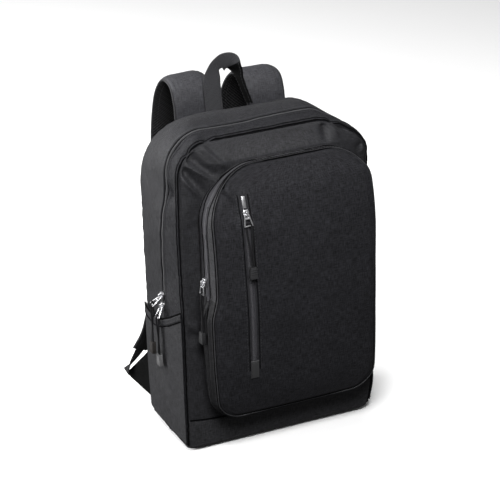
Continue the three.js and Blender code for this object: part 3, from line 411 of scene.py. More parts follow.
@dataclass
class Maker:
    """Makes the pieces: each is linked, finished and rides on the only body."""

    cloth_edge: float = math.radians(55)
    hard_edge: float = math.radians(25)
    weld: float = 1e-5
    finishes: dict[str, Material] = field(default_factory=dict)

    def finish(self, look: "Finish") -> Material:
        """Material of a finish, made once."""
        if look.name not in self.finishes:
            self.finishes[look.name] = look.material()
        return self.finishes[look.name]

    def piece(self, name: str, shape: Shape, looks: Sequence["Finish"], slot: str, nodes: Sequence[str] = (),
              thick: float = 0.0, offset: float = -1.0) -> bpy.types.Object:
        """One piece of the rucksack.

        Args:
            name: Its name.
            shape: Its points and faces.
            looks: Its finishes, in the order of the shape's kinds.
            slot: Material slot; not used.
            nodes: Nodes of the frame that it stands for.
            thick: Thickness of cloth to give a single surface, in millimetres.
            offset: Side that the thickness goes to, -1 inwards, 0 both.

        Returns:
            The object.
        """
        mesh = bpy.data.meshes.new(name)
        mesh.from_pydata((shape.points * MM).tolist(), [], shape.faces)
        mesh.polygons.foreach_set("use_smooth", np.ones(len(mesh.polygons), bool))
        layer = mesh.uv_layers.new(name="metres")
        corner = np.empty(len(mesh.loops), np.int32)
        mesh.loops.foreach_get("vertex_index", corner)
        layer.data.foreach_set("uv", shape.flat[corner].astype(np.float32).ravel())
        for look in looks:
            mesh.materials.append(self.finish(look))
        if shape.kinds is not None:
            mesh.polygons.foreach_set("material_index", shape.kinds.astype(np.int32))
        mesh.update()
        thing = placed(name, mesh)
        if thick:
            wall = thing.modifiers.new("cloth", "SOLIDIFY")
            wall.thickness, wall.offset = thick * MM, offset
            edge = thing.modifiers.new("edge", "EDGE_SPLIT")
            edge.split_angle = self.cloth_edge
        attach(thing, BODY)
        if nodes:
            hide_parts(*nodes)
        return thing

    def hardware(self, node: str, look: "Finish", bevel: float) -> bpy.types.Object:
        """Hard piece of the frame with rounded edges.

        Args:
            node: Node that it copies and stands for.
            look: Its finish.
            bevel: Width of the rounding in millimetres.

        Returns:
            The object.
        """
        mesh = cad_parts[node].data.copy()
        mesh.materials.clear()
        mesh.materials.append(self.finish(look))
        mesh.polygons.foreach_set("use_smooth", np.ones(len(mesh.polygons), bool))
        thing = placed(f"{node}_looks", mesh)
        weld = thing.modifiers.new("weld", "WELD")
        weld.merge_threshold = self.weld
        round_edge = thing.modifiers.new("round", "BEVEL")
        round_edge.width, round_edge.segments = bevel * MM, 3
        round_edge.limit_method, round_edge.angle_limit = "ANGLE", self.hard_edge
        round_edge.harden_normals = True
        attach(thing, BODY)
        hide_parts(node)
        return thing


MAKE = Maker()


# Finishes


class Graph:
    """Node tree of one procedural material."""

    def __init__(self, name: str) -> None:
        """Starts from a principled shader."""
        self.material = bpy.data.materials.new(name)
        self.material.use_nodes = True
        self.tree = self.material.node_tree
        self.shader = self.tree.nodes["Principled BSDF"]

    def feed(self, node: bpy.types.Node, key: str | int, value: object) -> None:
        """Links a socket to an input, or sets the input's value."""
        if isinstance(value, Socket):
            self.tree.links.new(value, node.inputs[key])
        else:
            node.inputs[key].default_value = value

    def node(self, kind: str, inputs: dict | None = None, **settings: object) -> bpy.types.Node:
        """New node with its settings and inputs."""
        node = self.tree.nodes.new("ShaderNode" + kind)
        for key, value in settings.items():
            setattr(node, key, value)
        for key, value in (inputs or {}).items():
            self.feed(node, key, value)
        return node

    def maths(self, operation: str, a: object, b: object = 0.0) -> Socket:
        """Result of one operation on two numbers."""
        return self.node("Math", {0: a, 1: b}, operation=operation).outputs[0]

    def flat(self) -> tuple[Socket, Socket, Socket]:
        """Flat coordinates of the cloth in metres: the vector, along and across."""
        vector = self.node("TexCoord").outputs["UV"]
        parts = self.node("SeparateXYZ", {0: vector})
        return vector, parts.outputs[0], parts.outputs[1]

    def wave(self, value: Socket, pitch: float) -> Socket:
        """Sine of a coordinate with a pitch in millimetres."""
        return self.maths("SINE", self.maths("MULTIPLY", value, TAU / (pitch * MM)))

    def noise(self, vector: Socket, scale: Sequence[float], detail: float = 2.0) -> Socket:
        """Noise of a vector scaled by its own factor each way."""
        scaled = self.node("VectorMath", {0: vector, 1: (*scale, 1.0)}, operation="MULTIPLY").outputs[0]
        return self.node("TexNoise", {"Vector": scaled, "Scale": 1.0, "Detail": detail}).outputs[0]

    def span(self, value: Socket, low: float, high: float, to_low: float = 0.0,
             to_high: float = 1.0) -> Socket:
        """Value carried from one span to another and held at its ends."""
        return self.node("MapRange", {0: value, 1: low, 2: high, 3: to_low, 4: to_high}).outputs[0]

    def blend(self, share: object, a: object, b: object) -> Socket:
        """Blend of two colours."""
        inputs = {0: share, 6: self.colour(a), 7: self.colour(b)}
        return self.node("Mix", inputs, data_type="RGBA").outputs[2]

    def scale(self, colour: object, factor: Socket) -> Socket:
        """Colour made lighter or darker."""
        return self.node("VectorMath", {0: colour, "Scale": factor}, operation="SCALE").outputs[0]

    @staticmethod
    def colour(value: object) -> object:
        """Colour with its alpha, or the socket that carries it."""
        return value if isinstance(value, Socket) else (*value, 1.0)

    def bump(self, height: Socket, distance: float, strength: float = 1.0,
             under: Socket | None = None) -> Socket:
        """Normal bent by a height whose distance is in millimetres."""
        node = self.node("Bump", {"Height": height, "Distance": distance * MM, "Strength": strength})
        if under is not None:
            self.feed(node, "Normal", under)
        return node.outputs[0]

    def close(self, **inputs: object) -> Material:
        """Feeds the shader, with underscores for the blanks in its inputs' names, and gives the material."""
        for key, value in inputs.items():
            self.feed(self.shader, key.replace("_", " "), value)
        return self.material


@dataclass(frozen=True)
class Finish:
    """A named look."""

    name: str

    def material(self) -> Material:
        """Material of the look."""
        raise NotImplementedError


@dataclass(frozen=True)
class TwoTone(Finish):
    """Look of yarns between a dark and a light tone."""

    dark: Colour
    light: Colour


@dataclass(frozen=True)
class Weave(TwoTone):
    """Plain woven cloth of two-tone yarns with flecks along both ways, soft mottling and a slight sheen."""

    pitch: float = 0.8
    rough: float = 0.6
    sheen: float = 0.012
    relief: float = 0.16
    gloss: float = 0.24

    def material(self) -> Material:
        """Yarn flecks colour it, crossing sines and noise raise it."""
        graph = Graph(self.name)
        vector, along, across = graph.flat()
        warp = graph.noise(vector, (120.0, 1000.0), 1.0)
        weft = graph.noise(vector, (1000.0, 120.0), 1.0)
        fleck = graph.span(graph.maths("ADD", warp, weft), 0.72, 1.28)
        mottle = graph.span(graph.noise(vector, (30.0, 30.0), 4.0), 0.3, 0.7, 0.88, 1.12)
        colour = graph.scale(graph.blend(fleck, self.dark, self.light), mottle)
        yarn = graph.maths("MULTIPLY", graph.wave(along, self.pitch), graph.wave(across, self.pitch))
        height = graph.maths("ADD", graph.maths("MULTIPLY", yarn, 0.5), fleck)
        uneven = graph.bump(graph.noise(vector, (150.0, 150.0), 3.0), 0.4, 0.2)
        normal = graph.bump(height, self.relief, 0.8, uneven)
        rough = graph.span(fleck, 0.0, 1.0, self.rough + 0.08, self.rough - 0.08)
        return graph.close(Base_Color=colour, Roughness=rough, Normal=normal, Sheen_Weight=self.sheen,
                           Sheen_Roughness=0.45, Specular_IOR_Level=self.gloss)


@dataclass(frozen=True)
class Webbing(TwoTone):
    """Ribbed woven band: ribs run along it, crossed by a fine herringbone."""

    rib: float = 1.5
    gloss: float = 0.1
    sheen: float = 0.03

    def material(self) -> Material:
        """Ribs across the band and slanted picks along it."""
        graph = Graph(self.name)
        vector, along, across = graph.flat()
        ribs = graph.wave(across, self.rib)
        slant = graph.wave(graph.maths("ADD", along, graph.maths("ABSOLUTE", across)), 1.1)
        height = graph.maths("ADD", ribs, graph.maths("MULTIPLY", slant, 0.5))
        fleck = graph.noise(vector, (700.0, 1600.0), 1.0)
        share = graph.span(graph.maths("ADD", graph.maths("MULTIPLY", height, 0.22), fleck), 0.2, 0.85)
        return graph.close(Base_Color=graph.blend(share, self.dark, self.light), Roughness=0.7,
                           Normal=graph.bump(height, 0.22), Sheen_Weight=self.sheen,
                           Specular_IOR_Level=self.gloss)


@dataclass(frozen=True)
class Spacer(TwoTone):
    """Black spacer mesh: rows of holes with slanted ribs between them."""

    pitch: float = 4.2

    def material(self) -> Material:
        """Ribs both ways on the slant; where neither rises there is a hole."""
        graph = Graph(self.name)
        vector, along, across = graph.flat()
        first = graph.wave(graph.maths("ADD", along, across), self.pitch)
        second = graph.wave(graph.maths("SUBTRACT", along, across), self.pitch * 1.9)
        height = graph.maths("ADD", first, graph.maths("MULTIPLY", second, 0.45))
        yarn = graph.noise(vector, (1900.0, 1900.0), 1.0)
        share = graph.span(graph.maths("ADD", height, graph.maths("MULTIPLY", yarn, 0.7)), -0.5, 1.5)
        return graph.close(Base_Color=graph.blend(share, self.dark, self.light), Roughness=0.85,
                           Normal=graph.bump(height, 0.55), Specular_IOR_Level=0.15)


@dataclass(frozen=True)
class Tape(TwoTone):
    """Zip tape: fine ribs along it on a slightly violet grey."""

    def material(self) -> Material:
        """Ribs of knitted tape with flecks."""
        graph = Graph(self.name)
        vector, along, across = graph.flat()
        ribs = graph.wave(across, 0.9)
        picks = graph.wave(along, 0.9)
        height = graph.maths("ADD", ribs, graph.maths("MULTIPLY", picks, 0.4))
        fleck = graph.span(graph.noise(vector, (1300.0, 1300.0), 2.0), 0.3, 0.7)
        return graph.close(Base_Color=graph.blend(fleck, self.dark, self.light), Roughness=0.62,
                           Normal=graph.bump(height, 0.15), Specular_IOR_Level=0.3)


@dataclass(frozen=True)
class Nylon(Finish):
    """Smooth moulded nylon or rubber with a faint grain."""

    tone: Colour
    rough: float = 0.42
    grain: float = 0.05
    gloss: float = 0.5

    def material(self) -> Material:
        """Tone varied by noise over the object."""
        graph = Graph(self.name)
        place = graph.node("TexCoord").outputs["Object"]
        grain = graph.noise(place, (2600.0, 2600.0), 2.0)
        tone = graph.span(graph.noise(place, (150.0, 150.0), 3.0), 0.3, 0.7, 0.82, 1.18)
        base = graph.scale(self.tone, tone)
        rough = graph.span(grain, 0.2, 0.8, self.rough - 0.06, self.rough + 0.1)
        return graph.close(Base_Color=base, Roughness=rough, Normal=graph.bump(grain, self.grain),
                           Specular_IOR_Level=self.gloss)


@dataclass(frozen=True)
class Metal(Finish):
    """Satin plated zinc with fine scratches."""

    tone: Colour = (0.78, 0.78, 0.80)
    rough: float = 0.26

    def material(self) -> Material:
        """Scratches are noise drawn out one way."""
        graph = Graph(self.name)
        place = graph.node("TexCoord").outputs["Object"]
        scratch = graph.noise(place, (4200.0, 700.0), 3.0)
        dull = graph.span(graph.noise(place, (420.0, 420.0), 3.0), 0.35, 0.7)
        colour = graph.blend(dull, self.tone, tuple(0.82 * c for c in self.tone))
        return graph.close(Base_Color=colour, Metallic=1.0, Normal=graph.bump(scratch, 0.02),
                           Roughness=graph.span(scratch, 0.2, 0.8, self.rough - 0.06, self.rough + 0.12))


@dataclass(frozen=True)
class Braid(TwoTone):
    """Braided cord or twisted thread: slanted strands both ways round it."""

    pitch: float = 1.6
    gloss: float = 0.25
    sheen: float = 0.03

    def material(self) -> Material:
        """Two slanted waves cross to make the braid."""
        graph = Graph(self.name)
        vector, along, across = graph.flat()
        first = graph.wave(graph.maths("ADD", along, across), self.pitch)
        second = graph.wave(graph.maths("SUBTRACT", along, across), self.pitch)
        height = graph.maths("MAXIMUM", first, second)
        share = graph.span(graph.maths("ADD", height, graph.noise(vector, (1500.0, 1500.0))), 0.0, 1.6)
        return graph.close(Base_Color=graph.blend(share, self.dark, self.light), Roughness=0.68,
                           Normal=graph.bump(height, 0.18), Sheen_Weight=self.sheen,
                           Specular_IOR_Level=self.gloss)


@dataclass(frozen=True)
class Studio(Finish):
    """Pale floor with a faint unevenness."""

    tone: Colour = (0.95, 0.95, 0.95)

    def material(self) -> Material:
        """Matt white paper."""
        graph = Graph(self.name)
        place = graph.node("TexCoord").outputs["Object"]
        uneven = graph.span(graph.noise(place, (3.0, 3.0), 2.0), 0.3, 0.7, 0.985, 1.0)
        base = graph.scale(self.tone, uneven)
        return graph.close(Base_Color=base, Roughness=0.9, Specular_IOR_Level=0.1)


CLOTH = Weave("black_weave", dark=(0.0040, 0.0040, 0.0046), light=(0.0172, 0.0172, 0.0200))
FACE_CLOTH = Weave("face_weave", dark=(0.0040, 0.0040, 0.0046), light=(0.0174, 0.0174, 0.0202), gloss=0.1)
DARK_CLOTH = Weave("dark_weave", dark=(0.0020, 0.0020, 0.0023), light=(0.0088, 0.0088, 0.0100), gloss=0.1)
SIDE_CLOTH = Weave("side_weave", dark=(0.0047, 0.0047, 0.0054), light=(0.0168, 0.0168, 0.0196), gloss=0.18)
BOOT_CLOTH = Weave("coarse_weave", dark=(0.007, 0.007, 0.0077), light=(0.029, 0.029, 0.032), pitch=1.2,
                   relief=0.24)
GUSSET_CLOTH = Weave("violet_weave", dark=(0.0080, 0.0078, 0.0094), light=(0.030, 0.0292, 0.0345))
STRAP_CLOTH = Weave("strap_weave", dark=(0.0145, 0.0145, 0.0166), light=(0.0325, 0.0325, 0.0372))
PIPING = Weave("piping_weave", dark=(0.008, 0.008, 0.009), light=(0.030, 0.030, 0.033), pitch=0.6, relief=0.1)
WEBBING = Webbing("webbing", dark=(0.0135, 0.0135, 0.0147), light=(0.056, 0.056, 0.061))
# Painted shade: a dark copy of the webbing for the straps' lower webbing, which lies in the bag's shade.
SHADED_END_WEBBING = Webbing("painted_shade_end_webbing", dark=(0.006, 0.006, 0.0066), light=(0.014, 0.014, 0.0154))
# Painted shade: a near-black copy of the webbing for the wing, in the bag's shade, and for the handle's right
# leg's inner side.
SHADE_WEBBING = Webbing("painted_shade_webbing", dark=(0.001, 0.001, 0.0011), light=(0.0055, 0.0057, 0.0058), gloss=0.03,
                      sheen=0.0)
SPACER = Spacer("spacer_mesh", dark=(0.0018, 0.0018, 0.0018), light=(0.0150, 0.0150, 0.0162))
TAPE = Tape("zip_tape", dark=(0.012, 0.0117, 0.014), light=(0.034, 0.033, 0.039))
# Painted shade: the main zip's tape is made near black to stand for the shade under the lips beside the coil.
SHADED_ZIP_TAPE = Tape("painted_shade_zip_tape", dark=(0.004, 0.004, 0.0045), light=(0.014, 0.014, 0.016))
COIL = Nylon("zip_coil", tone=(0.038, 0.0375, 0.042), gloss=0.35)
DARK_COIL = Nylon("dark_zip_coil", tone=(0.026, 0.026, 0.029), rough=0.55)
METAL = Metal("plated_zinc")
RUBBER = Nylon("tip_rubber", tone=(0.012, 0.012, 0.013), rough=0.6, grain=0.08, gloss=0.2)
GREY_RUBBER = Nylon("grey_tip_rubber", tone=(0.070, 0.070, 0.072), rough=0.6, grain=0.08, gloss=0.3)
BROWN_RUBBER = Nylon("brown_tip_rubber", tone=(0.014, 0.012, 0.011), rough=0.6, grain=0.08, gloss=0.2)
PATCH = Nylon("patch_rubber", tone=(0.022, 0.022, 0.023), rough=0.62, grain=0.08, gloss=0.3)
CORD = Braid("pull_cord", dark=(0.003, 0.003, 0.0034), light=(0.013, 0.013, 0.014), gloss=0.08, sheen=0.0)
THREAD = Braid("thread", dark=(0.008, 0.008, 0.009), light=(0.030, 0.030, 0.033), pitch=0.7)
# Painted shade: near-black tubes laid along seams, grooves and gaps stand for the shade lines there.
PAINTED_SHADE_LINE = Braid("painted_shade_line", dark=(0.0008, 0.0008, 0.0009), light=(0.003, 0.003, 0.0032), pitch=0.7,
                     gloss=0.02, sheen=0.0)


def seam(name: str, lines: Sequence[Line], radius: float, slot: str = "cloth") -> None:
    """Painted shade lines: near-black tubes along seams, grooves and gaps, where shade falls.

    Args:
        name: Name of the piece.
        lines: Points and normals of each seam.
        radius: Radius of the tube.
        slot: Material slot.
    """
    MAKE.piece(name, joined([tube_shape(*line, radius, 6) for line in lines]), [PAINTED_SHADE_LINE], slot)


# Folds


@dataclass(frozen=True)
class Fold:
    """Fold of a panel from its outer end to the end where it fades out: a crisp ridge, or a soft trough."""

    start: Pair
    end: Pair
    high: float
    reach: float

    def depth(self, x: Array, z: Array) -> Array:
        """How far the cloth lies back at points of the panel.

        A ridge falls off from its crest like the tip of a tent, a trough like a bell. Both fade along it.

        Args:
            x: Across the panel in millimetres.
            z: Up the panel in millimetres.

        Returns:
            Depth, negative on a ridge.
        """
        dx, dz = self.end[0] - self.start[0], self.end[1] - self.start[1]
        along = ((x - self.start[0]) * dx + (z - self.start[1]) * dz) / (dx * dx + dz * dz)
        s = np.clip(along, 0, 1)
        away = np.hypot(x - self.start[0] - s * dx, z - self.start[1] - s * dz)
        fade = (1 - s**3) * smooth(along, -0.4, 0.0)
        steep = 2.2
        tent = np.exp(1 - np.sqrt(1 + (steep * away / self.reach) ** 2))
        profile = tent if self.high > 0 else bell(away, self.reach)
        return -self.high * fade * profile


def creased(folds: Sequence[Fold], x: Array, z: Array) -> Array:
    """Depth of several folds together."""
    return sum(fold.depth(x, z) for fold in folds)


@dataclass(frozen=True)
class Dent:
    """Soft dent of the gusset: its place along the U and across it, its reach both ways and its depth."""

    along: float
    share: float
    reach: float
    spread: float
    deep: float

    def pull(self, p: Array, t: Array) -> Array:
        """How far the cloth is drawn in at places along the U and shares of the depth."""
        return self.deep * bell(p - self.along, self.reach) * bell(t - self.share, self.spread)


# Body


@dataclass
class Body:
    """Body: a U-shaped gusset between a front and a back panel over a tray-shaped base, with the main zip."""

    half: float = 130.0
    rim: float = 12.0
    boot: float = 41.0
    boot_rise: float = 8.0
    seam: float = 2.9
    swell: float = 3.0
    zip_width: float = 13.0
    zip_end: float = 186.0
    zip_visible: float = 2.7
    zip_fade: float = 0.006
    zip_sunk: float = 1.6
    zip_stitch: float = 3.0
    front_rows: Pair = (3.2, 6.0)
    boot_rows: Pair = (-4.0, 4.6)
    feet: Pair = (0.0015, 0.9985)
    lip: Triple = (0.9, 2.2, 1.6)
    lip_turn: Pair = (1.1, 1.4)
    length: float = 1000.0
    wall: float = 1.6
    back_wall: float = 2.4
    tray_wall: float = 1.8
    turn_in: float = 1.2
    gusset_turn_in: float = 1.3
    turn_reach: float = 2.6
    boot_turn_reach: float = 2.4
    calm: Triple = (12.0, 14.0, 7.0)
    crowd: float = 1.5
    pad: float = 3.0
    pad_rise: Pair = (2.0, 26.0)
    quilt_rise: Pair = (10.0, 40.0)
    boot_gap: float = 0.5
    quilt: Triple = (2.2, 44.0, 3.0)
    slack: Slack = Slack(((0.8, 75, 3), (0.22, 24, 5)))
    puckers: Slack = Slack(((0.35, 9, 7),))
    front_slack: Slack = Slack(((0.7, 80, 11), (0.2, 22, 13)))
    boot_slack: Slack = Slack(((0.35, 26, 17),))
    side: Table = table(
        "z", z=(0, 53, 173, 258, 318, 368, 433), edge=(132, 132, 130, 129.5, 128.5, 126, 124),
        bulge=(2, 3, 3, 8, 10, 9, 8), front=(-65, -67, -66, -64, -63, -60, -54),
        back=(57, 60, 62, 62, 62, 61, 59))
    top: Table = table(
        "t", t=(0, 0.2, 0.4, 0.65, 1), top=(421, 428, 431, 425, 409), corner=(46, 50, 56, 60, 62))
    lean: Table = table("z", z=(0, 18, 50, 300, 385, 433), out=(-10, -4.5, 0, 1, 9, 9))
    line: Table = table("z", z=(0, 186, 248, 308, 353, 433), behind=(52, 52, 43, 33, 25, 20))
    tray: Table = table(
        "k", k=(0, 1, 2, 3, 4, 5), z=(12, 9.5, 6, 2.8, 0.8, 0), inset=(0, 0, 2, 6.5, 13, 20),
        corner=(5, 5, 9, 17, 25, 30))
    slump: tuple[float, float, float, float, float, float] = (60, 108, 340, 415, 8, 13)
    slope: tuple[float, float, float, float] = (15, 300, 392, 26)
    dents: tuple[Dent, ...] = (
        Dent(0.33, 0.13, 0.009, 0.06, 7), Dent(0.385, 0.12, 0.012, 0.05, 2.5),
        Dent(0.67, 0.13, 0.014, 0.055, 3))
    nicks: tuple[Pair, ...] = ((0.386, 4.5), (0.417, 5.0), (0.585, 3.6))
    nick_reach: Pair = (5.0, 9.0)
    creases: tuple[Fold, ...] = (
        Fold((-86, 418), (-66, 390), -3.0, 4.0), Fold((-93, 418), (-63, 385), 7.0, 5.5),
        Fold((-111, 406), (-76, 372), -10.0, 8.0), Fold((-116, 398), (-79, 371), 7.5, 5.0),
        Fold((-119, 392), (-90, 351), -7.0, 7.0), Fold((-121, 381), (-97, 350), 5.0, 3.6),
        Fold((73, 420), (69.5, 394), -6.5, 4.5), Fold((84, 418), (85, 397), 3.5, 6.0),
        Fold((84, 418), (106, 408), -5.0, 4.0), Fold((125, 388), (107, 379), -5.0, 4.5),
        Fold((128, 379), (112, 371), 3.0, 4.5), Fold((-127, 187), (-106, 168), 2.6, 5.0),
        Fold((-127, 174), (-108, 158), -2.4, 6.0), Fold((-127, 160), (-109, 141), 1.8, 5.0))

    def half_width(self, t: Array, z: Array) -> Array:
        """Half width at a share of the depth and a height: the seams' own, and a bulge between them."""
        return self.side.read("edge", z) + self.side.read("bulge", z) * 4 * t * (1 - t)

    def depth(self, t: Array, z: Array) -> Array:
        """Place from front to back at a share of the depth and a height."""
        return mix(self.side.read("front", z), self.side.read("back", z), t)

    def outline(self, p: Array, t: Array) -> tuple[Array, Array]:
        """U-shaped outline at a share of the depth: leg, quarter circle, top, and the same mirrored.

        Args:
            p: Share of the way up the left, over the top and down the right.
            t: Share of the depth.

        Returns:
            Across and up, before the body's own width.
        """
        top, radius = self.top.read("top", t), self.top.read("corner", t)
        inner, foot = self.half - radius, self.rim + GAP
        leg, arc = top - radius - foot, radius * math.pi / 2
        run = np.clip(p, 0, 1) * 2 * (leg + arc + inner)
        s = np.minimum(run, 2 * (leg + arc + inner) - run)
        turn = np.clip((s - leg) / radius, 0, math.pi / 2)
        x = -inner - radius * np.cos(turn) + np.maximum(s - leg - arc, 0)
        z = foot + np.minimum(s, leg) + radius * np.sin(turn)
        return np.where(run > leg + arc + inner, -x, x), z

    def settle(self, place: Array) -> Array:
        """Points moved to where the right side stands: foot tucked in, top corner leaning out and slumped."""
        start, full, low, high, deep, middle = self.slump
        x, y, z = np.moveaxis(place, -1, 0)
        side = np.maximum(x / self.half, 0)
        front, back = self.side.columns["front"][0], self.side.columns["back"][0]
        share = np.clip((y - front) / (back - front), 0, 1)
        sunk = (deep + middle * 4 * share * (1 - share)) * smooth(x, start, full) * smooth(z, low, high)
        return np.stack([x + self.lean.read("out", z) * side * side, y, z - sunk], -1)

    def point(self, p: Array, t: Array) -> Array:
        """Gusset's surface at a place along the U and a share of the depth, with its soft dents."""
        p, t = matched(p, t)
        x, z = self.outline(p, t)
        place = np.stack([x * self.half_width(t, z) / self.half, self.depth(t, z), z], -1)
        pull = sum(dent.pull(p, t) for dent in self.dents)
        inwards = np.stack([-place[..., 0], np.zeros_like(x), 2 * self.half - z], -1)
        return self.settle(place + unit(inwards) * pull[..., None])

    def zip_share(self, p: Array) -> Array:
        """Share of the depth at which the main zip's middle runs."""
        z = self.point(p, 0.2)[..., 2]
        return self.line.read("behind", z) / (self.depth(1.0, z) - self.depth(0.0, z))

    def place_at(self, height: float) -> float:
        """Place along the U of a height on the left side, about where the main zip runs."""
        p = np.linspace(0, 0.5, 4001)
        return float(np.interp(height, self.point(p, 0.4)[:, 2], p))

    @property
    def nominal(self) -> float:
        """Depth of the body in millimetres at the height of the zip."""
        middle = 250.0
        return float(self.depth(1.0, middle) - self.depth(0.0, middle))

    def folds(self, p: Array, t: Array) -> Array:
        """Height of the gusset's fine folds.

        The sum of soft unevenness away from the seams, puckers that run across them, the cloth's turn into
        them, and the nicks where the front seam is pinched in.

        Args:
            p: Place along the U.
            t: Share of the depth.

        Returns:
            Height along the normal in millimetres.
        """
        s, near = p * self.length, t * self.nominal
        far, calm = self.nominal - near, self.calm[0]
        drawn_out, front_reach, back_reach = 0.2, 9, 7
        soft = self.slack.height(s, near) * smooth(near, 0, calm) * smooth(far, 0, calm)
        pucker = self.puckers.height(s, near * drawn_out) * (bell(near, front_reach) + bell(far, back_reach))
        roll = smooth(near, 0, self.turn_reach) * smooth(far, 0, self.turn_reach) - 1
        along, across = self.nick_reach
        nick = sum(deep * bell(s - at * self.length, along) * bell(near, across) for at, deep in self.nicks)
        return soft + pucker + self.gusset_turn_in * roll - nick

    def skin(self, p: Array, t: Array) -> Array:
        """Gusset's surface with its fine folds."""
        at, normal = trace(self.point, p, t)
        return at + normal * self.folds(p, t)[..., None]

    def front_depth(self, x: Array, z: Array) -> Array:
        """Front panel's depth without creases: it swells, and slopes from its top seam out to the pocket."""
        across = np.minimum(np.abs(x) / self.half, 1)
        high = self.top.columns["top"][0]
        swell = self.swell * (1 - across**4) * np.sin(math.pi * np.minimum(z / high, 1))
        out, start, full, run = self.slope
        sideways = np.minimum(np.abs(x) / np.maximum(self.panel_half(0.0, z), 1), 1)
        slope = out * np.clip((high - z) / run, 0, 1) * (1 - sideways**6) * smooth(z, start, full)
        return self.depth(0.0, z) - swell - slope

    def boot_top(self, u: Array) -> Array:
        """Height of the seam between the boot and the front panel, from the left edge to the right one."""
        return self.boot + self.boot_rise * mix(-1, 1, u) ** 2

    def panel_half(self, t: float, z: Array) -> Array:
        """Half width of a flat panel at a height, inside the gusset's wall, with its round top corners."""
        top, radius = self.top.read("top", t) - self.seam, self.top.read("corner", t) - self.seam
        above = np.maximum(z - (top - radius), 0)
        cut = radius - np.sqrt(np.maximum(radius**2 - above**2, 0))
        return self.half_width(t, z) - self.seam - cut

    def front(self, u: Array, v: Array, low: Array, high: float) -> Array:
        """Front panel's surface: rows of heights that crowd towards the top, swell, creases, fine folds."""
        _, calm, crease_calm = self.calm
        z = mix(low, high, 1 - (1 - v) ** self.crowd)
        x = mix(-1, 1, u) * self.panel_half(0.0, z)
        edge = np.minimum(self.panel_half(0.0, z) - np.abs(x), high - z)
        soft = self.front_slack.height(x, z) * smooth(edge, 0, calm)
        roll = tuck(edge, self.turn_in, self.turn_reach)
        y = self.front_depth(x, z) + creased(self.creases, x, z) * smooth(edge, 0, crease_calm) - soft + roll
        return self.settle(xyz(x, y, z))

    def boot_line(self, u: Array, rise: float, lift: float) -> Line:
        """Line along the boot's seam at a rise over it, raised off the cloth, with its normals."""
        z = self.boot_top(u) + rise
        x = mix(-1, 1, u) * self.panel_half(0.0, z)
        return self.settle(xyz(x, self.front_depth(x, z) - lift, z)), repeated(FORWARDS, len(u))

    def build_gussets(self) -> None:
        """Builds the gusset's two strips, whose lips lie beside the zip's coil and meet below its ends."""
        start, fade = self.place_at(self.zip_end), self.zip_fade
        stops = [start - fade, start, 1 - start, 1 - start + fade]
        p = np.unique(np.concatenate([np.linspace(0, 1, 310), stops]))
        share = self.zip_share(p)
        closed = smooth(start - np.minimum(p, 1 - p), 0.0, fade)
        open_half = mix(self.zip_visible, GAP, closed) / self.nominal
        p, share, open_half = p[:, None], share[:, None], open_half[:, None]
        strips = (("front_gusset", np.zeros_like(share), share - open_half, 26, FACE_CLOTH),
                  ("rear_gusset", share + open_half, np.ones_like(share), 64, SIDE_CLOTH))
        for name, low, high, count, look in strips:
            t = mix(low, high, cosine(count)[None, :])
            flap = np.abs(t - share) * self.nominal - open_half * self.nominal
            points = self.skin(p, t)
            rise, inside, reach = self.lip
            lip = rise * bell(flap - inside, reach) - tuck(flap, *self.lip_turn)
            points = points + grid_normals(points) * lip[..., None]
            gusset = MAKE.piece(name + "_cloth", grid_shape(points), [look], "cloth", [name], self.wall)
            wide = float((high - low).mean() * self.nominal * MM)

    def build_zip(self) -> None:
        """Builds the main zip: a tape a little below the cloth and the coil along its middle."""
        start = self.place_at(self.zip_end)
        p = np.linspace(start, 1 - start, 420)
        share = self.zip_share(p)
        half = self.zip_width / 2 / self.nominal
        t = share[:, None] + np.linspace(-half, half, 9)[None, :]
        points = self.skin(p[:, None], t)
        tape = points - grid_normals(points) * self.zip_sunk
        # The tape's near-black finish is painted shade beside the coil.
        MAKE.piece("main_zip_tape", grid_shape(tape), [SHADED_ZIP_TAPE], "zip_tape", ["main_zip"], TAPE_WALL)
        path, normal = trace(self.skin, p, share, lift=-1.2)
        teeth = coil(path, normal, half=1.5, rise=1.0, pitch=1.6)
        MAKE.piece("main_zip_coil", teeth, [DARK_COIL], "zip_tape")

    def build_panels(self) -> None:
        """Builds the front panel, the boot along its foot and the padded back panel."""
        top = float(self.top.columns["top"][0]) - self.seam
        u, v = cosine(136)[:, None], np.linspace(0, 1, 140)[None, :]
        panel = grid_shape(self.front(u, v, self.boot_top(u) + self.boot_gap, top))
        front = MAKE.piece("front_panel_cloth", panel, [CLOTH], "cloth", ["front_panel"], self.wall)
        v = cosine(16)[None, :]
        z = mix(self.rim + GAP, self.boot_top(u), v)
        x = mix(-1, 1, u) * self.panel_half(0.0, z)
        fold = tuck(self.boot_top(u) - z, self.turn_in, self.boot_turn_reach) - self.boot_slack.height(x, z)
        boot = grid_shape(self.settle(xyz(x, self.front_depth(x, z) + fold, z)))
        MAKE.piece("front_boot_cloth", boot, [BOOT_CLOTH], "boot_cloth", ["front_boot"], self.wall)
        self.build_back()

    def build_back(self) -> None:
        """Builds the back panel: it swells inside its edge, with two quilted lines down it."""
        high = float(self.top.columns["top"][-1]) - self.seam
        v = np.linspace(0, 1, 94)[None, :]
        z = mix(self.rim + GAP, high, 1 - (1 - v) ** self.crowd)
        x = mix(1, -1, cosine(78)[:, None]) * self.panel_half(1.0, z)
        edge = np.minimum(self.panel_half(1.0, z) - np.abs(x), np.minimum(high - z, z - self.rim))
        deep, aside, reach = self.quilt
        quilting = deep * bell(np.abs(x) - aside, reach) * smooth(edge, *self.quilt_rise)
        pad = self.pad * smooth(edge, *self.pad_rise) - quilting
        y = self.depth(1.0, z) + pad - tuck(edge, self.turn_in, self.turn_reach)
        back = grid_shape(self.settle(xyz(x, y, z)))
        panel = MAKE.piece("back_panel_pad", back, [SPACER], "back_cloth", ["back_panel"], self.back_wall)

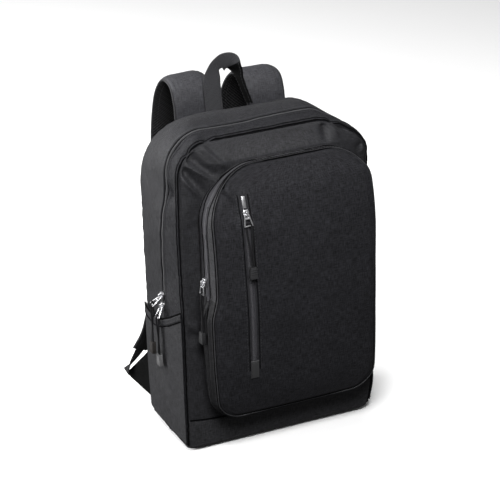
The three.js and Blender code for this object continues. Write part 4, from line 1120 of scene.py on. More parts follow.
    def build_base(self) -> None:
        """Builds the base: rounded rectangles that shrink from the rim to the flat underside.

        Each ring goes round in four quarters: a share of the way along one side, a quarter turn, and the
        same share along the next.
        """
        rows, straight = self.tray, 0.3
        k = np.linspace(0, 5, 36)[None, :]
        turn = np.linspace(0, 4, 200, endpoint=False)[:, None]
        front, back = float(self.depth(0.0, self.rim)), float(self.depth(1.0, self.rim))
        corner = rows.read("corner", k)
        inner_x = float(self.half_width(0.0, self.rim)) - rows.read("inset", k) - corner
        inner_y = (back - front) / 2 - rows.read("inset", k) - corner
        quarter = np.floor(turn)
        s, even = turn - quarter, quarter % 2 == 0
        angle = np.clip((s - straight) / (1 - 2 * straight), 0, 1) * math.pi / 2
        angle = np.where(even, angle, math.pi / 2 - angle)
        leave, reach = np.minimum(s / straight, 1), np.minimum((1 - s) / straight, 1)
        along_x, along_y = np.where(even, leave, reach), np.where(even, reach, leave)
        sign_x = np.where(quarter < 2, -1, 1)
        sign_y = np.where((quarter == 0) | (quarter == 3), -1, 1)
        centre = (front + back) / 2
        x = sign_x * (along_x * inner_x + np.sin(angle) * corner)
        y = centre + sign_y * (along_y * inner_y + np.cos(angle) * corner)
        ring = xyz(x, y, rows.read("z", k))
        middle = np.array([0.0, centre, 0.0])
        shrink = np.linspace(1, 0, 12)[1:][None, :, None]
        floor = middle + (ring[:, -1:] - middle) * shrink
        tray = grid_shape(self.settle(np.concatenate([ring, floor], 1)), close_rows=True)
        MAKE.piece("base_tray", tray, [BOOT_CLOTH], "boot_cloth", ["base_panel"], self.tray_wall)

    def dress(self) -> None:
        """Adds the piping of the front and back seams, the rows of stitches and the painted shade lines along
        the seams.
        """
        p = np.linspace(0.0, 1.0, 460)
        # The front piping is a painted shade line: a near-black tube for the shade along the front seam.
        pipings = (("front_piping", 0.002, 0.1, 0.85, PAINTED_SHADE_LINE),
                   ("back_piping", 0.998, -0.4, 1.1, PIPING))
        for name, t, lift, radius, look in pipings:
            path, normal = trace(self.skin, p, t, lift)
            MAKE.piece(name, tube_shape(path, normal, radius, 10), [look], "cloth")
        share = self.zip_share(p)
        start = self.place_at(self.zip_end)
        inside = (p > start) & (p < 1 - start)

        def beside_zip(off: float, lift: float) -> list[Line]:
            """Lines on both sides of the zip at a distance from its middle."""
            shares = [share[inside] + sign * off / self.nominal for sign in (-1, 1)]
            return [trace(self.skin, p[inside], t, lift) for t in shares]

        from_front = [off / self.nominal for off in self.front_rows]
        rows = beside_zip(self.zip_visible + self.zip_stitch, lift=0.55)
        rows.append(trace(self.skin, p, from_front[1], lift=0.12))
        MAKE.piece("gusset_stitches", joined([stitches(*row) for row in rows]), [THREAD], "cloth")
        # Painted shade lines beside the zip, at the front seam and at the base's and the boot's seams.
        lines = [trace(self.skin, p, from_front[0])] + beside_zip(self.zip_visible, lift=-0.6)
        seam("gusset_seams", lines, radius=0.65)
        t = np.linspace(0, 1, 90)
        lines = [trace(self.point, foot, t) for foot in self.feet]
        seam("base_seams", lines, radius=0.9)
        u = np.linspace(0.02, 0.98, 300)
        lines = [stitches(*self.boot_line(u, rise, lift=0.2)) for rise in self.boot_rows]
        MAKE.piece("boot_stitches", joined(lines), [THREAD], "boot_cloth")
        u = np.linspace(0.004, 0.996, 300)
        seam("boot_seam", [self.boot_line(u, rise=0.25, lift=0.6)], radius=0.9, slot="boot_cloth")


# Front pocket


@dataclass
class Pocket:
    """Deep front pocket: a gusset in two strips with a zip between them, and a crowned face."""

    body: Body
    high: float = 392.0
    low: float = 59.5
    left_corner: float = 70.0
    right_corner: float = 47.0
    foot_corner: float = 30.0
    half: float = 105.0
    centre: float = 4.0
    seam: float = 2.7
    rim_inset: float = 1.3
    rim_share: float = 0.02
    swell: float = 7.0
    foot_gap: float = 1.05
    zip_end: float = 229.0
    zip_part: float = 0.62
    zip_most: float = 15.0
    zip_fade: float = 0.006
    strip_gap: float = 0.006
    puff: Triple = (3.0, 20.0, 1.5)
    turned: float = 0.004
    length: float = 1020.0
    nominal: float = 45.0
    wall: float = 1.4
    face_wall: float = 1.6
    ridge_high: float = 2.8
    ridge_fade: Pair = (0.03, 0.1)
    ridges: tuple[Triple, ...] = ((0.22, 0.05, 1.0), (0.47, 0.06, 1.0), (0.74, 0.06, 0.8))
    grooves: Pair = (0.345, 0.605)
    groove_ends: Pair = (0.05, 0.012)
    seams: Pair = (0.05, 0.955)
    stitch_off: float = 1.9
    face_calm: Pair = (2.0, 22.0)
    face_turn: Triple = (1.1, 5.4, 2.6)
    lip_turn: Pair = (0.9, 1.8)
    slack: Slack = Slack(((0.5, 45, 23), (0.2, 16, 29)))
    face_slack: Slack = Slack(((0.55, 95, 31), (0.16, 26, 37)))
    rows: Table = table(
        "z", z=(59.5, 98, 158, 200, 239, 308, 355, 392), foot=(-3, 2, 4, 5, 3, 2, 2, 0),
        left=(0, 5, 8, 8, 0, -1, -1, -2), right=(3, 5.5, 6, 7, 8, 11, 11, 6),
        rim=(-104.5, -112, -115, -115, -114, -109, -99, -80.5))
    creases: tuple[Fold, ...] = (
        Fold((-73, 380), (-55, 360), -2.2, 5.0), Fold((-80, 373), (-64, 351), 2.6, 5.0),
        Fold((-83, 367), (-66, 334), -3.2, 5.0))

    def edge(self, q: Array) -> tuple[Array, Array]:
        """Closed outline from the middle of the foot up the left, over the top and down the right.

        Args:
            q: Share of the way round.

        Returns:
            Across and up.
        """
        left, right = self.centre - self.half, self.centre + self.half
        low, far, near = self.foot_corner, self.left_corner, self.right_corner
        quarter = math.pi / 2
        lengths = np.array([self.half - low, low * quarter, self.high - self.low - low - far, far * quarter,
                            2 * self.half - far - near, near * quarter, self.high - self.low - near - low,
                            low * quarter, self.half - low])
        ends = np.cumsum(lengths)
        s = (np.asarray(q, float) % 1.0) * ends[-1]
        k = np.minimum(np.searchsorted(ends, s, side="right"), 8)
        along = s - (ends[k] - lengths[k])
        radius = np.array([1, low, 1, far, 1, near, 1, low, 1])[k]
        turn = along / radius
        sin, cos = np.sin(turn), np.cos(turn)
        x = np.choose(k, [self.centre - along, left + low - low * sin, left + 0 * s, left + far - far * cos,
                          left + far + along, right - near + near * sin, right + 0 * s,
                          right - low + low * cos, right - low - along])
        z = np.choose(k, [self.low + 0 * s, self.low + low - low * cos, self.low + low + along,
                          self.high - far + far * sin, self.high + 0 * s, self.high - near + near * cos,
                          self.high - near - along, self.low + low - low * sin, self.low + 0 * s])
        return x, z

    def ends(self, q: Array) -> tuple[Array, Array, Array]:
        """Rim where the face is sewn on, foot on the front panel and share of the half width, round it."""
        x, z = self.edge(q)
        side = (x - self.centre) / self.half
        grow = np.where(side < 0, self.rows.read("left", z), self.rows.read("right", z))
        rim = np.stack([x + side * grow, self.rows.read("rim", z), z], -1)
        foot_x = x + side * self.rows.read("foot", z)
        foot = np.stack([foot_x, self.body.front_depth(foot_x, z) - self.foot_gap, z], -1)
        return rim, foot, side

    def point(self, q: Array, v: Array) -> Array:
        """Gusset's surface from its rim to its foot, puffed out a little between them."""
        q, v = matched(q, v)
        rim, foot, side = self.ends(q)
        place = mix(rim, foot, v[..., None])
        out, full, spread = self.puff
        stands = np.abs(place[..., 1] - self.body.front_depth(place[..., 0], place[..., 2])) / full
        puff = out * np.sin(math.pi * np.clip(v, 0, 1)) * np.minimum(1, stands)
        place[..., 0] += puff * np.sign(side) * np.minimum(1, np.abs(side) * spread)
        return place

    def depth(self, q: Array) -> Array:
        """Width of the gusset from rim to foot."""
        rim, foot, _ = self.ends(q)
        return np.linalg.norm(rim - foot, axis=-1)

    @property
    def zip_start(self) -> float:
        """Share of the way round at which the zip's lower end lies on the left."""
        q = np.linspace(0, 0.5, 4001)
        return float(np.interp(self.zip_end, self.edge(q)[1], q))

    def zip_half(self, q: Array) -> Array:
        """Half the zip's width as a share of the gusset's."""
        depth = self.depth(q)
        return np.minimum(self.zip_most, depth * self.zip_part) / 2 / depth

    def skin(self, q: Array, v: Array) -> Array:
        """Gusset's surface with soft folds, and ridges that run on below the zip round the lower corners."""
        at, normal = trace(self.point, q, v)
        turn = np.minimum(q % 1.0, 1 - q % 1.0)
        below = smooth(self.zip_start - turn, 0.0, self.ridge_fade[0]) * smooth(turn, *self.ridge_fade)
        ridge = sum(part * bell(v - place, reach) for place, reach, part in self.ridges)
        ridge = ridge * self.ridge_high * below
        soft = self.slack.height(q * self.length, v * self.nominal)
        return at + normal * (ridge + soft * np.sin(math.pi * np.clip(v, 0, 1)))[..., None]

    def face_side(self, z: Array, sign: int) -> Array:
        """Face's edge at a height on one side, inside the gusset's wall."""
        foot, top = self.low + self.seam, self.high - self.seam
        low = self.foot_corner - self.seam
        corner = (self.left_corner if sign < 0 else self.right_corner) - self.seam
        into = np.maximum(z - (top - corner), 0) / corner
        under = np.maximum(foot + low - z, 0) / low
        cut = corner * (1 - np.sqrt(np.maximum(1 - into**2, 0)))
        scoop = low * (1 - np.sqrt(np.maximum(1 - under**2, 0)))
        half = self.half - cut - scoop
        grow = self.rows.read("left" if sign < 0 else "right", z) * half / self.half
        return self.centre + sign * (half + grow - self.seam)

    def face_depth(self, x: Array, z: Array) -> Array:
        """Face's depth: crowned across and up, with its creases and soft folds."""
        left, right = self.face_side(z, -1), self.face_side(z, 1)
        reach = np.where(x < self.centre, self.centre - left, right - self.centre)
        across = np.minimum(np.abs(x - self.centre) / np.maximum(reach, 1e-6), 1)
        up = np.clip((z - self.low) / (self.high - self.low), 0, 1)
        crown = self.swell * (1 - across**3) * np.sqrt(np.maximum(np.sin(math.pi * up), 0))
        edge = np.minimum(reach * (1 - across), np.minimum(self.high - z, z - self.low))
        soft = self.face_slack.height(x, z) * smooth(edge, *self.face_calm)
        flat = self.rows.read("rim", z) - crown
        return flat + creased(self.creases, x, z) - soft + tuck(edge, *self.face_turn)

    def face_point(self, x: Array, z: Array) -> Array:
        """Point of the face."""
        x, z = matched(x, z)
        return xyz(x, self.face_depth(x, z), z)

    def build(self, slot: "Slot") -> None:
        """Builds the strips of the gusset, the zip and the face with its slot cut out."""
        start, fade, gap = self.zip_start, self.zip_fade, self.strip_gap
        stops = [start - fade, start, 1 - start, 1 - start + fade]
        q = np.unique(np.concatenate([np.linspace(0, 1, 420, endpoint=False), stops]))
        half, depth = self.zip_half(q), self.depth(q)
        turn = np.minimum(q, 1 - q)
        below = smooth(start - turn, 0.0, fade)
        face = mix(self.rim_share, (0.5 - half - gap)[:, None], cosine(12)[None, :])
        base_from = 0.5 + mix(half, -half, below) + gap
        base = mix(base_from[:, None], 1.0, cosine(22)[None, :])
        strips = (("pocket_gusset_face", face, (CLOTH, DARK_CLOTH)),
                  ("pocket_gusset_base", base, (GUSSET_CLOTH, DARK_CLOTH)))
        for name, v, looks in strips:
            points = self.skin(q[:, None], v)
            lip = np.minimum(v - v.min(1, keepdims=True), v.max(1, keepdims=True) - v) * depth[:, None]
            points = points - grid_normals(points, True) * tuck(lip, *self.lip_turn)[..., None]
            shape = grid_shape(points, close_rows=True)
            shape.kinds = np.repeat(turn < start, v.shape[1] - 1)
            piece = MAKE.piece(name + "_cloth", shape, looks, "cloth", [name], self.wall)
        self.build_zip()
        self.build_face(slot)

    def build_zip(self) -> None:
        """Builds the pocket's zip between the strips: tape and coil."""
        past, wider, sunk, deeper, aside = 0.01, 1.1, 0.9, 1.8, 0.45
        q = np.linspace(self.zip_start - past, 1 - self.zip_start + past, 420)
        half = self.zip_half(q)
        under = smooth(self.zip_start - np.minimum(q, 1 - q), -0.002, 0.006)
        points = self.skin(q[:, None], 0.5 + np.linspace(-wider, wider, 11)[None, :] * half[:, None])
        tape = points - grid_normals(points) * (sunk + deeper * under)[:, None, None]
        MAKE.piece("pocket_zip_tape", grid_shape(tape), [TAPE], "zip_tape", ["pocket_zip"], TAPE_WALL)
        inside = slice(6, -6)
        path, normal = trace(self.skin, q[inside], 0.5 - aside * half[inside], lift=-0.7)
        MAKE.piece("pocket_zip_coil", coil(path, normal, half=1.3, rise=0.9, pitch=1.5), [COIL], "zip_tape")

    def build_face(self, slot: "Slot") -> None:
        """Builds the face on columns that line up with the slot's edges, with no faces inside the slot."""
        heights = mix(self.low + self.seam, self.high - self.seam, cosine(186))
        z = np.sort(np.concatenate([heights, [slot.low, slot.high]]))
        left, right = self.face_side(z, -1), self.face_side(z, 1)
        near, far, first, last = 2, 30, 0.22, 0.262
        away = smooth(z, slot.high + near, slot.high + far)
        inner = mix(slot.x - slot.wide / 2, mix(left, right, first), away)
        outer = mix(slot.x + slot.wide / 2, mix(left, right, last), away)
        before, inside, after = 34, 7, 94
        spans = ((left, inner, before), (inner, outer, inside), (outer, right, after))
        parts = [mix(a[:, None], b[:, None], np.linspace(0, 1, n)[None, :-1]) for a, b, n in spans]
        x = np.concatenate(parts + [right[:, None]], 1).T
        shape = grid_shape(self.face_point(x, z[None, :]))
        rows, columns = x.shape[0] - 1, x.shape[1] - 1
        i, j = np.divmod(np.arange(rows * columns), columns)
        in_slot = (i >= before - 1) & (i < before + inside - 2)
        hole = in_slot & (z[j] >= slot.low - 1e-6) & (z[j] < slot.high - 1e-6)
        shape.faces = np.array(shape.faces)[~hole].tolist()
        face = MAKE.piece("pocket_face_cloth", shape, [FACE_CLOTH], "cloth", ["pocket_face"], self.face_wall)

    def dress(self) -> None:
        """Adds the piping round the face and the foot, the stitches beside the zip and the painted shade
        lines along the seams, in the grooves and inside the rim.
        """
        q = np.linspace(0, 1, 520)
        pipings = (("pocket_rim_piping", 0.012, -0.8, 0.75), ("pocket_foot_piping", 0.985, -0.1, 0.8))
        for name, v, lift, radius in pipings:
            path, normal = trace(self.point, q, v, lift)
            MAKE.piece(name, tube_shape(path, normal, radius, 10), [PIPING], "cloth")
        zipped = q[(q > self.zip_start) & (q < 1 - self.zip_start)]

        def beside_zip(off: float, lift: float) -> list[Line]:
            """Lines on both sides of the zip at a distance from its edges."""
            away = self.zip_half(zipped) + off / self.depth(zipped)
            return [trace(self.skin, zipped, 0.5 + sign * away, lift) for sign in (-1, 1)]

        rows = [stitches(*line) for line in beside_zip(self.stitch_off, PROUD)]
        MAKE.piece("pocket_stitches", joined(rows), [THREAD], "cloth")
        # Painted shade lines along the gusset's seams and beside the zip.
        lines = [trace(self.skin, q, v) for v in self.seams]
        seam("pocket_seams", lines + beside_zip(off=0.2, lift=-0.4), radius=0.65)
        # Painted shade in the grooves between the ridges below the zip, as near-black tubes.
        first, short = self.groove_ends
        low = np.linspace(first, self.zip_start - short, 160)
        lines = [trace(self.skin, at, v, lift=-0.2) for at in (low, 1 - low) for v in self.grooves]
        seam("pocket_grooves", lines, radius=0.9)
        # Painted shade line just inside the rim on the face.
        x, _, z = self.point(q, 0.0).T
        along = unit(np.stack([np.gradient(x), np.gradient(z)], -1)) * self.rim_inset
        path = self.face_point(x + along[:, 1], z - along[:, 0])
        seam("pocket_rim_seam", [(path, repeated(FORWARDS, len(q)))], radius=0.6)


@dataclass
class Slot:
    """Slot pocket in the pocket's face: a recessed zip between two welts, a metal stop and an end patch."""

    x: float = -57.0
    high: float = 359.0
    low: float = 130.0
    wide: float = 9.0
    recess: float = 0.9
    under: float = 1.5
    past: float = 1.0
    tape_sunk: float = 0.7
    coil_sunk: float = 0.2
    welt_off: float = 0.1
    tape_wall: float = 0.5
    stitch_off: float = 4.6
    seam_off: float = 2.2
    stop_long: float = 14.0
    patch: tuple[float, float, float, float] = (11.0, 25.0, 1.2, 13.0)
    patch_wall: float = 0.9
    patch_off: float = 0.5
    patch_round: float = 1.1
    patch_groove: Triple = (0.35, 2.0, 0.35)

    def build(self, pocket: Pocket) -> None:
        """Builds the slot's tape, coil, welts, stop and patch."""
        z = np.linspace(self.low - self.past, self.high + self.past, 260)
        edge = self.wide / 2
        x = self.x + np.linspace(-edge - self.under, edge + self.under, 13)
        tape = pocket.face_point(x[:, None], z[None, :])
        tape[..., 1] += self.recess + self.tape_sunk
        MAKE.piece("slot_zip_tape", grid_shape(tape), [TAPE], "zip_tape", ["slot_zip"], self.tape_wall)
        path, normal = self.line(pocket, self.x, z[2:-2], -self.recess - self.coil_sunk)
        MAKE.piece("slot_zip_coil", coil(path, normal, half=2.3, rise=0.9, pitch=1.5), [COIL], "zip_tape")
        welts, rows, seams = [], [], []
        for sign in (-1, 1):
            welt = self.line(pocket, self.x + sign * (edge + self.welt_off), z, lift=-0.35)
            welts.append(tube_shape(*welt, radius=0.75, wide=1.25))
            rows.append(stitches(*self.line(pocket, self.x + sign * (edge + self.stitch_off), z, PROUD)))
            seams.append(self.line(pocket, self.x + sign * (edge + self.seam_off), z, PROUD))
        MAKE.piece("slot_welts", joined(welts), [CLOTH], "cloth")
        MAKE.piece("slot_stitches", joined(rows), [THREAD], "cloth")
        # Painted shade lines beside the welts.
        seam("slot_seams", seams, radius=0.55)
        MAKE.hardware("slot_top_stop", METAL, bevel=0.3)
        self.build_patch(pocket)

    def build_patch(self, pocket: Pocket) -> None:
        """Builds the moulded patch over the zip's lower end, with a groove inside its rounded edge."""
        wide, long, thick, below = self.patch
        u, v = cosine(22)[:, None], cosine(34)[None, :]
        flat_x = self.x + mix(-0.5, 0.5, u) * wide
        flat_z = self.low - below + v * long
        edge = np.minimum(np.minimum(u, 1 - u) * wide, np.minimum(v, 1 - v) * long)
        patch = pocket.face_point(flat_x, flat_z)
        deep, inside, reach = self.patch_groove
        domed = thick * np.sqrt(smooth(edge, 0, self.patch_round))
        patch[..., 1] -= self.patch_off + domed - deep * bell(edge - inside, reach)
        MAKE.piece("slot_end_patch_moulded", grid_shape(patch), [PATCH], "pull_tip", ["slot_end_patch"],
                   self.patch_wall)

    @staticmethod
    def line(pocket: Pocket, x: float, z: Array, lift: float) -> Line:
        """Upright line on the face with its normals, raised by a height."""
        at = pocket.face_point(x, z)
        up = unit(np.gradient(at, axis=0))
        normal = unit(np.cross(repeated((1.0, 0.0, 0.0), len(z)), up))
        return at + normal * lift, normal


# Side pockets


@dataclass
class SidePocket:
    """Open pocket on one side: cloth that stands off the gusset towards its mouth, with a hem along it."""

    body: Body
    side: Side
    foot: float = 16.0
    lift: float = 7.0
    clear: float = 2.25
    hem_clear: float = 2.65
    hem_high: float = 10.0
    overlap: float = 0.6
    wall: float = 1.4
    hem_wall: float = 2.2
    hem_turn: Pair = (0.8, 2.0)
    hem_rows: Pair = (2.6, 7.8)
    foot_row: float = 4.0
    mouth_rise: float = 0.4
    mouth_sunk: float = 0.6
    seam_drop: float = 0.8
    span: Pair = (0.008, 0.98)
    depth: float = 125.0
    slack: Slack = Slack(((0.5, 55, 41), (0.2, 18, 43)))
    hem: Table = table("t", t=(0, 0.25, 0.5, 1), z=(201, 183, 171, 165))

    def point(self, t: Array, z: Array, clear: float) -> Array:
        """Cloth at a share of the depth and a height: it stands off the gusset, most at its mouth."""
        t, z = matched(t, z)
        high = self.hem.read("z", t)
        up = np.maximum(z - self.foot, 0) / (high - self.foot)
        bow = np.sin(math.pi * np.clip(t, 0, 1))
        lift = clear + self.lift * bow**0.7 * up**0.8 + self.slack.height(t * self.depth, z) * bow
        x = self.side.value * (self.body.half_width(t, z) + lift)
        return self.body.settle(xyz(x, self.body.depth(t, z), z))

    def build(self) -> None:
        """Builds the cloth, its hem, the rows of stitches and the painted shade lines at the mouth and at the
        seam.
        """
        span = self.span if self.side is Side.LEFT else self.span[::-1]
        t = mix(*span, np.linspace(0, 1, 70))[None, :]
        pocket, hem = f"side_pocket_{self.side.word}", f"side_hem_{self.side.word}"
        high = self.hem.read("z", t)
        z = mix(self.foot, high - self.hem_high, np.linspace(0, 1, 76)[:, None])
        shape = grid_shape(self.point(t, z, self.clear))
        cloth = MAKE.piece(pocket + "_cloth", shape, [CLOTH], "cloth", [pocket], self.wall)
        low = high - self.hem_high - self.overlap
        z = mix(low, high, cosine(16)[:, None])
        band = self.point(t, z, self.hem_clear)
        band[..., 0] -= self.side.value * tuck(np.minimum(z - low, high - z), *self.hem_turn)
        MAKE.piece(hem + "_band", grid_shape(band), [SIDE_CLOTH], "cloth", [hem], self.hem_wall)
        t, high = t[0], high[0]
        out = repeated((self.side.value, 0.0, 0.0), len(t))
        paths = [self.point(t, high - drop, self.hem_clear + PROUD) for drop in self.hem_rows]
        paths.append(self.point(t, self.foot + self.foot_row, self.clear + PROUD))
        MAKE.piece(hem + "_stitches", joined([stitches(path, out) for path in paths]), [THREAD], "cloth")
        # Painted shade: near-black tubes for the shade in the mouth and under the hem.
        mouth = self.point(t, high + self.mouth_rise, self.hem_clear - self.mouth_sunk)
        seam(hem + "_mouth", [(mouth, out)], radius=1.1)
        below = self.point(t, high - self.hem_high - self.seam_drop, self.hem_clear)
        seam(hem + "_seam", [(below, out)], radius=0.7)


# Bands


def band_frame(rows: Table, at: Array, mirror: float = 1.0) -> tuple[Array, Array, Array]:
    """Middle line of a band with its line across and its normal.

    The line across turns about the vertical and tips over by the table's columns, squared to the tangent.

    Args:
        rows: Table with x, y, z, turn and tip by share.
        at: Shares along the band.
        mirror: -1 for a band mirrored across X.

    Returns:
        Points, lines across and normals.
    """
    places = np.stack([rows.columns[name] for name in "xyz"], -1)
    line = through(places, at)
    tangent = unit(through(places, at + 1e-4) - through(places, at - 1e-4))
    turn, tip = np.radians(rows.read("turn", at)), np.radians(rows.read("tip", at))
    across = np.stack([np.cos(turn) * np.cos(tip), np.sin(turn) * np.cos(tip), -np.sin(tip)], -1)
    across = unit(across - tangent * (across * tangent).sum(-1, keepdims=True))
    flip = np.array([mirror, 1.0, 1.0])
    line, tangent, across = line * flip, tangent * flip, across * flip
    return line, across, np.cross(tangent, across) * mirror


def band_shape(line: Array, across: Array, normal: Array, wide: Array, thick: Array,
               mirror: float = 1.0) -> Shape:
    """Closed band: the side of the normal from edge to edge and back along the other side, with closed ends.

    Args:
        line: Middle line.
        across: Unit lines across.
        normal: Unit normals.
        wide: Width at each place.
        thick: Thickness at each place and share of the width.
        mirror: -1 turns the faces of a mirrored band outwards again.

    Returns:
        The shape, whose kinds are 0 on the normal's side and 1 on the other.
    """
    count = thick.shape[1]
    share = np.linspace(-0.5, 0.5, count)
    flat = line[:, None] + across[:, None] * (wide[:, None] * share)[..., None]
    off = normal[:, None] * (thick / 2)[..., None]
    loop = np.concatenate([flat + off, (flat - off)[:, ::-1]], 1)
    shape = grid_shape(loop, close_columns=True)
    size = 2 * count
    kinds = np.tile((np.arange(size) >= count).astype(int), len(line) - 1)
    shape.faces += caps(len(line), size)
    shape.kinds = np.concatenate([kinds, [1, 1]])
    if mirror < 0:
        shape.faces = [face[::-1] for face in shape.faces]
    return shape


@dataclass
class Strap:
    """Padded shoulder strap with cloth outside and mesh inside, its webbing and the wing in the side seam."""

    body: Body
    side: Side
    long: float = 520.0
    half: float = 26.0
    right_sag: float = 8.0
    right_drift: float = 11.0
    edge: float = 2.6
    padded: float = 11.0
    border: float = 6.0
    groove: Pair = (1.4, 1.3)
    bound: float = 1.75
    bound_inset: float = 0.4
    band_wide: float = 25.0
    band_thick: float = 2.0
    band_edge: float = 0.35
    band_rows: tuple[int, int] = (14, 18)
    band_stitch: float = 2.6
    wing_wall: float = 1.8
    wing_size: float = 60.0
    slack: Slack = Slack(((0.35, 40, 51),))
    wing_slack: Slack = Slack(((0.5, 34, 57),))
    rows: Table = table(
        "at", at=np.linspace(0, 1, 12),
        x=(-50.5, -50.5, -50.5, -51, -52, -53, -56, -62, -72, -85.5, -103, -124.2),
        y=(62.1, 65.5, 76, 98, 120, 132, 136, 133, 127, 120.5, 117, 116),
        z=(404, 429, 447, 450, 428, 391, 338, 273, 208, 148, 100, 70),
        wide=(51, 51, 51, 52, 54, 56, 57, 57, 55, 52, 46, 40),
        thick=(3.4, 7, 10, 11, 11, 11, 11, 11, 11, 11, 10, 5),
        turn=(0, 0, 0, 0, 0, 0, 4, 10, 20, 27, 30, 32), tip=(0,) * 12,
        sag=(0, 0.6, 1, 1, 0.8, 0.3, 0, 0, 0, 0, 0, 0), drift=(0, 0, 0, 0.5, 0.8, 1, 1, 0.7, 0.3, 0, 0, 0))
    webbing: Table = table(
        "at", at=np.linspace(0, 1, 4), x=(-117.5, -126.2, -136, -145.5), y=(116.3, 116, 116.3, 116.5),
        z=(79.5, 67, 54, 41), turn=(32, 34, 44, 80), tip=(0,) * 4)
    wing_low: float = 26.0
    wing_high: float = 94.0
    tip_low: Triple = (-144, 118, 38)
    tip_high: Triple = (-134.6, 106, 54)

    @property
    def mirror(self) -> float:
        """Factor of X from the left strap, whose table it is."""
        return 1.0 if self.side is Side.LEFT else -1.0

    def build(self) -> None:
        """Builds the padded strap with bound edges and stitched borders, the webbing and the wing."""
        name, mirror, columns = f"shoulder_strap_{self.side.word}", self.mirror, self.rows.columns
        if self.side is Side.RIGHT:
            columns["z"] = columns["z"] - self.right_sag * columns["sag"]
            columns["x"] = columns["x"] + self.right_drift * columns["drift"]
        at = np.linspace(0, 1, 240)
        line, across, normal = band_frame(self.rows, at, mirror)
        wide = self.rows.read("wide", at)
        v = np.linspace(-1, 1, 37)
        deep, reach = self.groove
        swell = 1 - np.abs(v)[None, :] ** 6
        groove = bell((1 - np.abs(v))[None, :] * wide[:, None] / 2 - self.border, reach)
        soft = self.slack.height(at[:, None] * self.long, v[None, :] * self.half)
        full = self.rows.read("thick", at)[:, None]
        thick = mix(self.edge, full, swell) - deep * groove * (full / self.padded) + soft * swell
        shape = band_shape(line, across, normal, wide, thick, mirror)
        strap = MAKE.piece(name + "_padded", shape, [SPACER, STRAP_CLOTH], "strap_padding", [name])
        full = full[:, 0]
        low = mix(self.edge, full, 1 - (1 - 2 * self.border / wide) ** 6) - deep * full / self.padded
        binding, rows = [], []
        for sign in (-1, 1):
            bound = line + across * (sign * (wide / 2 - self.bound_inset))[:, None]
            binding.append(tube_shape(bound, normal, self.bound, 10))
            row = line + across * (sign * (wide / 2 - self.border))[:, None]
            rows += sewn_through(row, normal, low / 2 + PROUD)
        MAKE.piece(name + "_binding", joined(binding), [CLOTH], "strap_padding")
        MAKE.piece(name + "_stitches", joined(rows), [THREAD], "strap_padding")
        self.build_webbing()
        self.build_wing()

    def build_webbing(self) -> None:
        """Builds the webbing at the strap's lower end and the rows of stitches that hold it."""
        name, mirror, inset = f"strap_webbing_{self.side.word}", self.mirror, 1.5
        at = np.linspace(0, 1, 40)
        line, across, normal = band_frame(self.webbing, at, mirror)
        wide = np.full_like(at, self.band_wide)
        v = np.linspace(-1, 1, 15)
        thick = repeated(self.band_thick * (1 - self.band_edge * np.abs(v) ** 8), len(at))
        shape = band_shape(line, across, normal, wide, thick, mirror)
        # The band's dark finish is painted shade under the bag.
        MAKE.piece(name + "_band", shape, [SHADED_END_WEBBING] * 2, "webbing", [name])
        rows = []
        for place in self.band_rows:
            half = across[place] * (self.band_wide / 2 - inset)
            path = mix(line[place] - half, line[place] + half, np.linspace(0, 1, 30)[:, None])
            out = repeated(normal[place], len(path))
            rows += sewn_through(path, out, self.band_thick / 2 + PROUD, self.band_stitch)
        MAKE.piece(name + "_stitches", joined(rows), [THREAD], "webbing")

    def build_wing(self) -> None:
        """Builds the wing of cloth between the side seam and the webbing."""
        name, mirror = f"strap_wing_{self.side.word}", self.mirror
        u, v = np.linspace(0, 1, 40)[:, None], np.linspace(0, 1, 34)[None, :]
        z = mix(self.wing_low, self.wing_high, v)
        seam_x = -(float(self.body.half_width(1.0, self.wing_low)) - self.body.seam / 2)
        foot = xyz(seam_x, self.body.depth(1.0, z) + GAP, z)
        tip = mix(np.array(self.tip_low), np.array(self.tip_high), v[..., None])
        place = mix(foot, tip, u[..., None])
        place[..., 0] += self.wing_slack.height(u * self.wing_size, v * self.wing_size) * np.sin(math.pi * u)
        place[..., 0] *= mirror
        shape = grid_shape(place)
        if mirror < 0:
            shape.faces = [face[::-1] for face in shape.faces]
        # The wing's near-black finish is painted shade from the bag.
        wing = MAKE.piece(name + "_cloth", shape, [SHADE_WEBBING], "webbing", [name], self.wing_wall, 0.0)


@dataclass
class Handle:
    """Grab handle of webbing: left leg flat to the front, folded across the top, right leg turned edge-on,
    its inner side given painted shade.
    """

    thick: float = 2.2
    edge: float = 0.3
    stitch_inset: float = 3.0
    proud: float = 0.05
    rows: Table = table(
        "at", at=np.linspace(0, 1, 10), x=(-24.5, -25.5, -25, -19.8, -9, 2, 8.5, 11.5, 15.5, 20),
        y=(56.6, 57.5, 59, 60.5, 61, 60.5, 58.5, 56, 52, 46.5),
        z=(411.3, 434, 454, 469.3, 474.8, 471, 462, 451, 436, 418.4),
        wide=(24, 24, 23, 15.3, 20, 27, 27, 24, 24, 24), turn=(0, 0, 0, 0, 40, 70, 98, 92, 88, 87),
        tip=(0, 0, 3, 43, 85, 78, 30, 14, 12, 13))
    painted_shade_from: float = 0.6

    def build(self) -> None:
        """Builds the webbing and the stitches along its edges."""
        at = np.linspace(0, 1, 160)
        line, across, normal = band_frame(self.rows, at)
        wide = self.rows.read("wide", at)
        v = np.linspace(-1, 1, 21)
        thick = repeated(self.thick * (1 - self.edge * np.abs(v) ** 8), len(at))
        shape = band_shape(line, across, normal, wide, thick)
        # Painted shade: the right leg's inner side past this share takes the near-black webbing for the shade
        # there.
        right = np.repeat(at[1:] > self.painted_shade_from, 2 * len(v))
        shape.kinds[:-2] = right & (shape.kinds[:-2] == 1)
        MAKE.piece("grab_handle_webbing", shape, [WEBBING, SHADE_WEBBING], "webbing", ["grab_handle"])
        rows = []
        for sign in (-1, 1):
            row = line + across * (sign * (wide / 2 - self.stitch_inset))[:, None]
            rows += sewn_through(row, normal, self.thick / 2 + self.proud)
        MAKE.piece("grab_handle_stitches", joined(rows), [THREAD], "webbing")


# Zip pulls


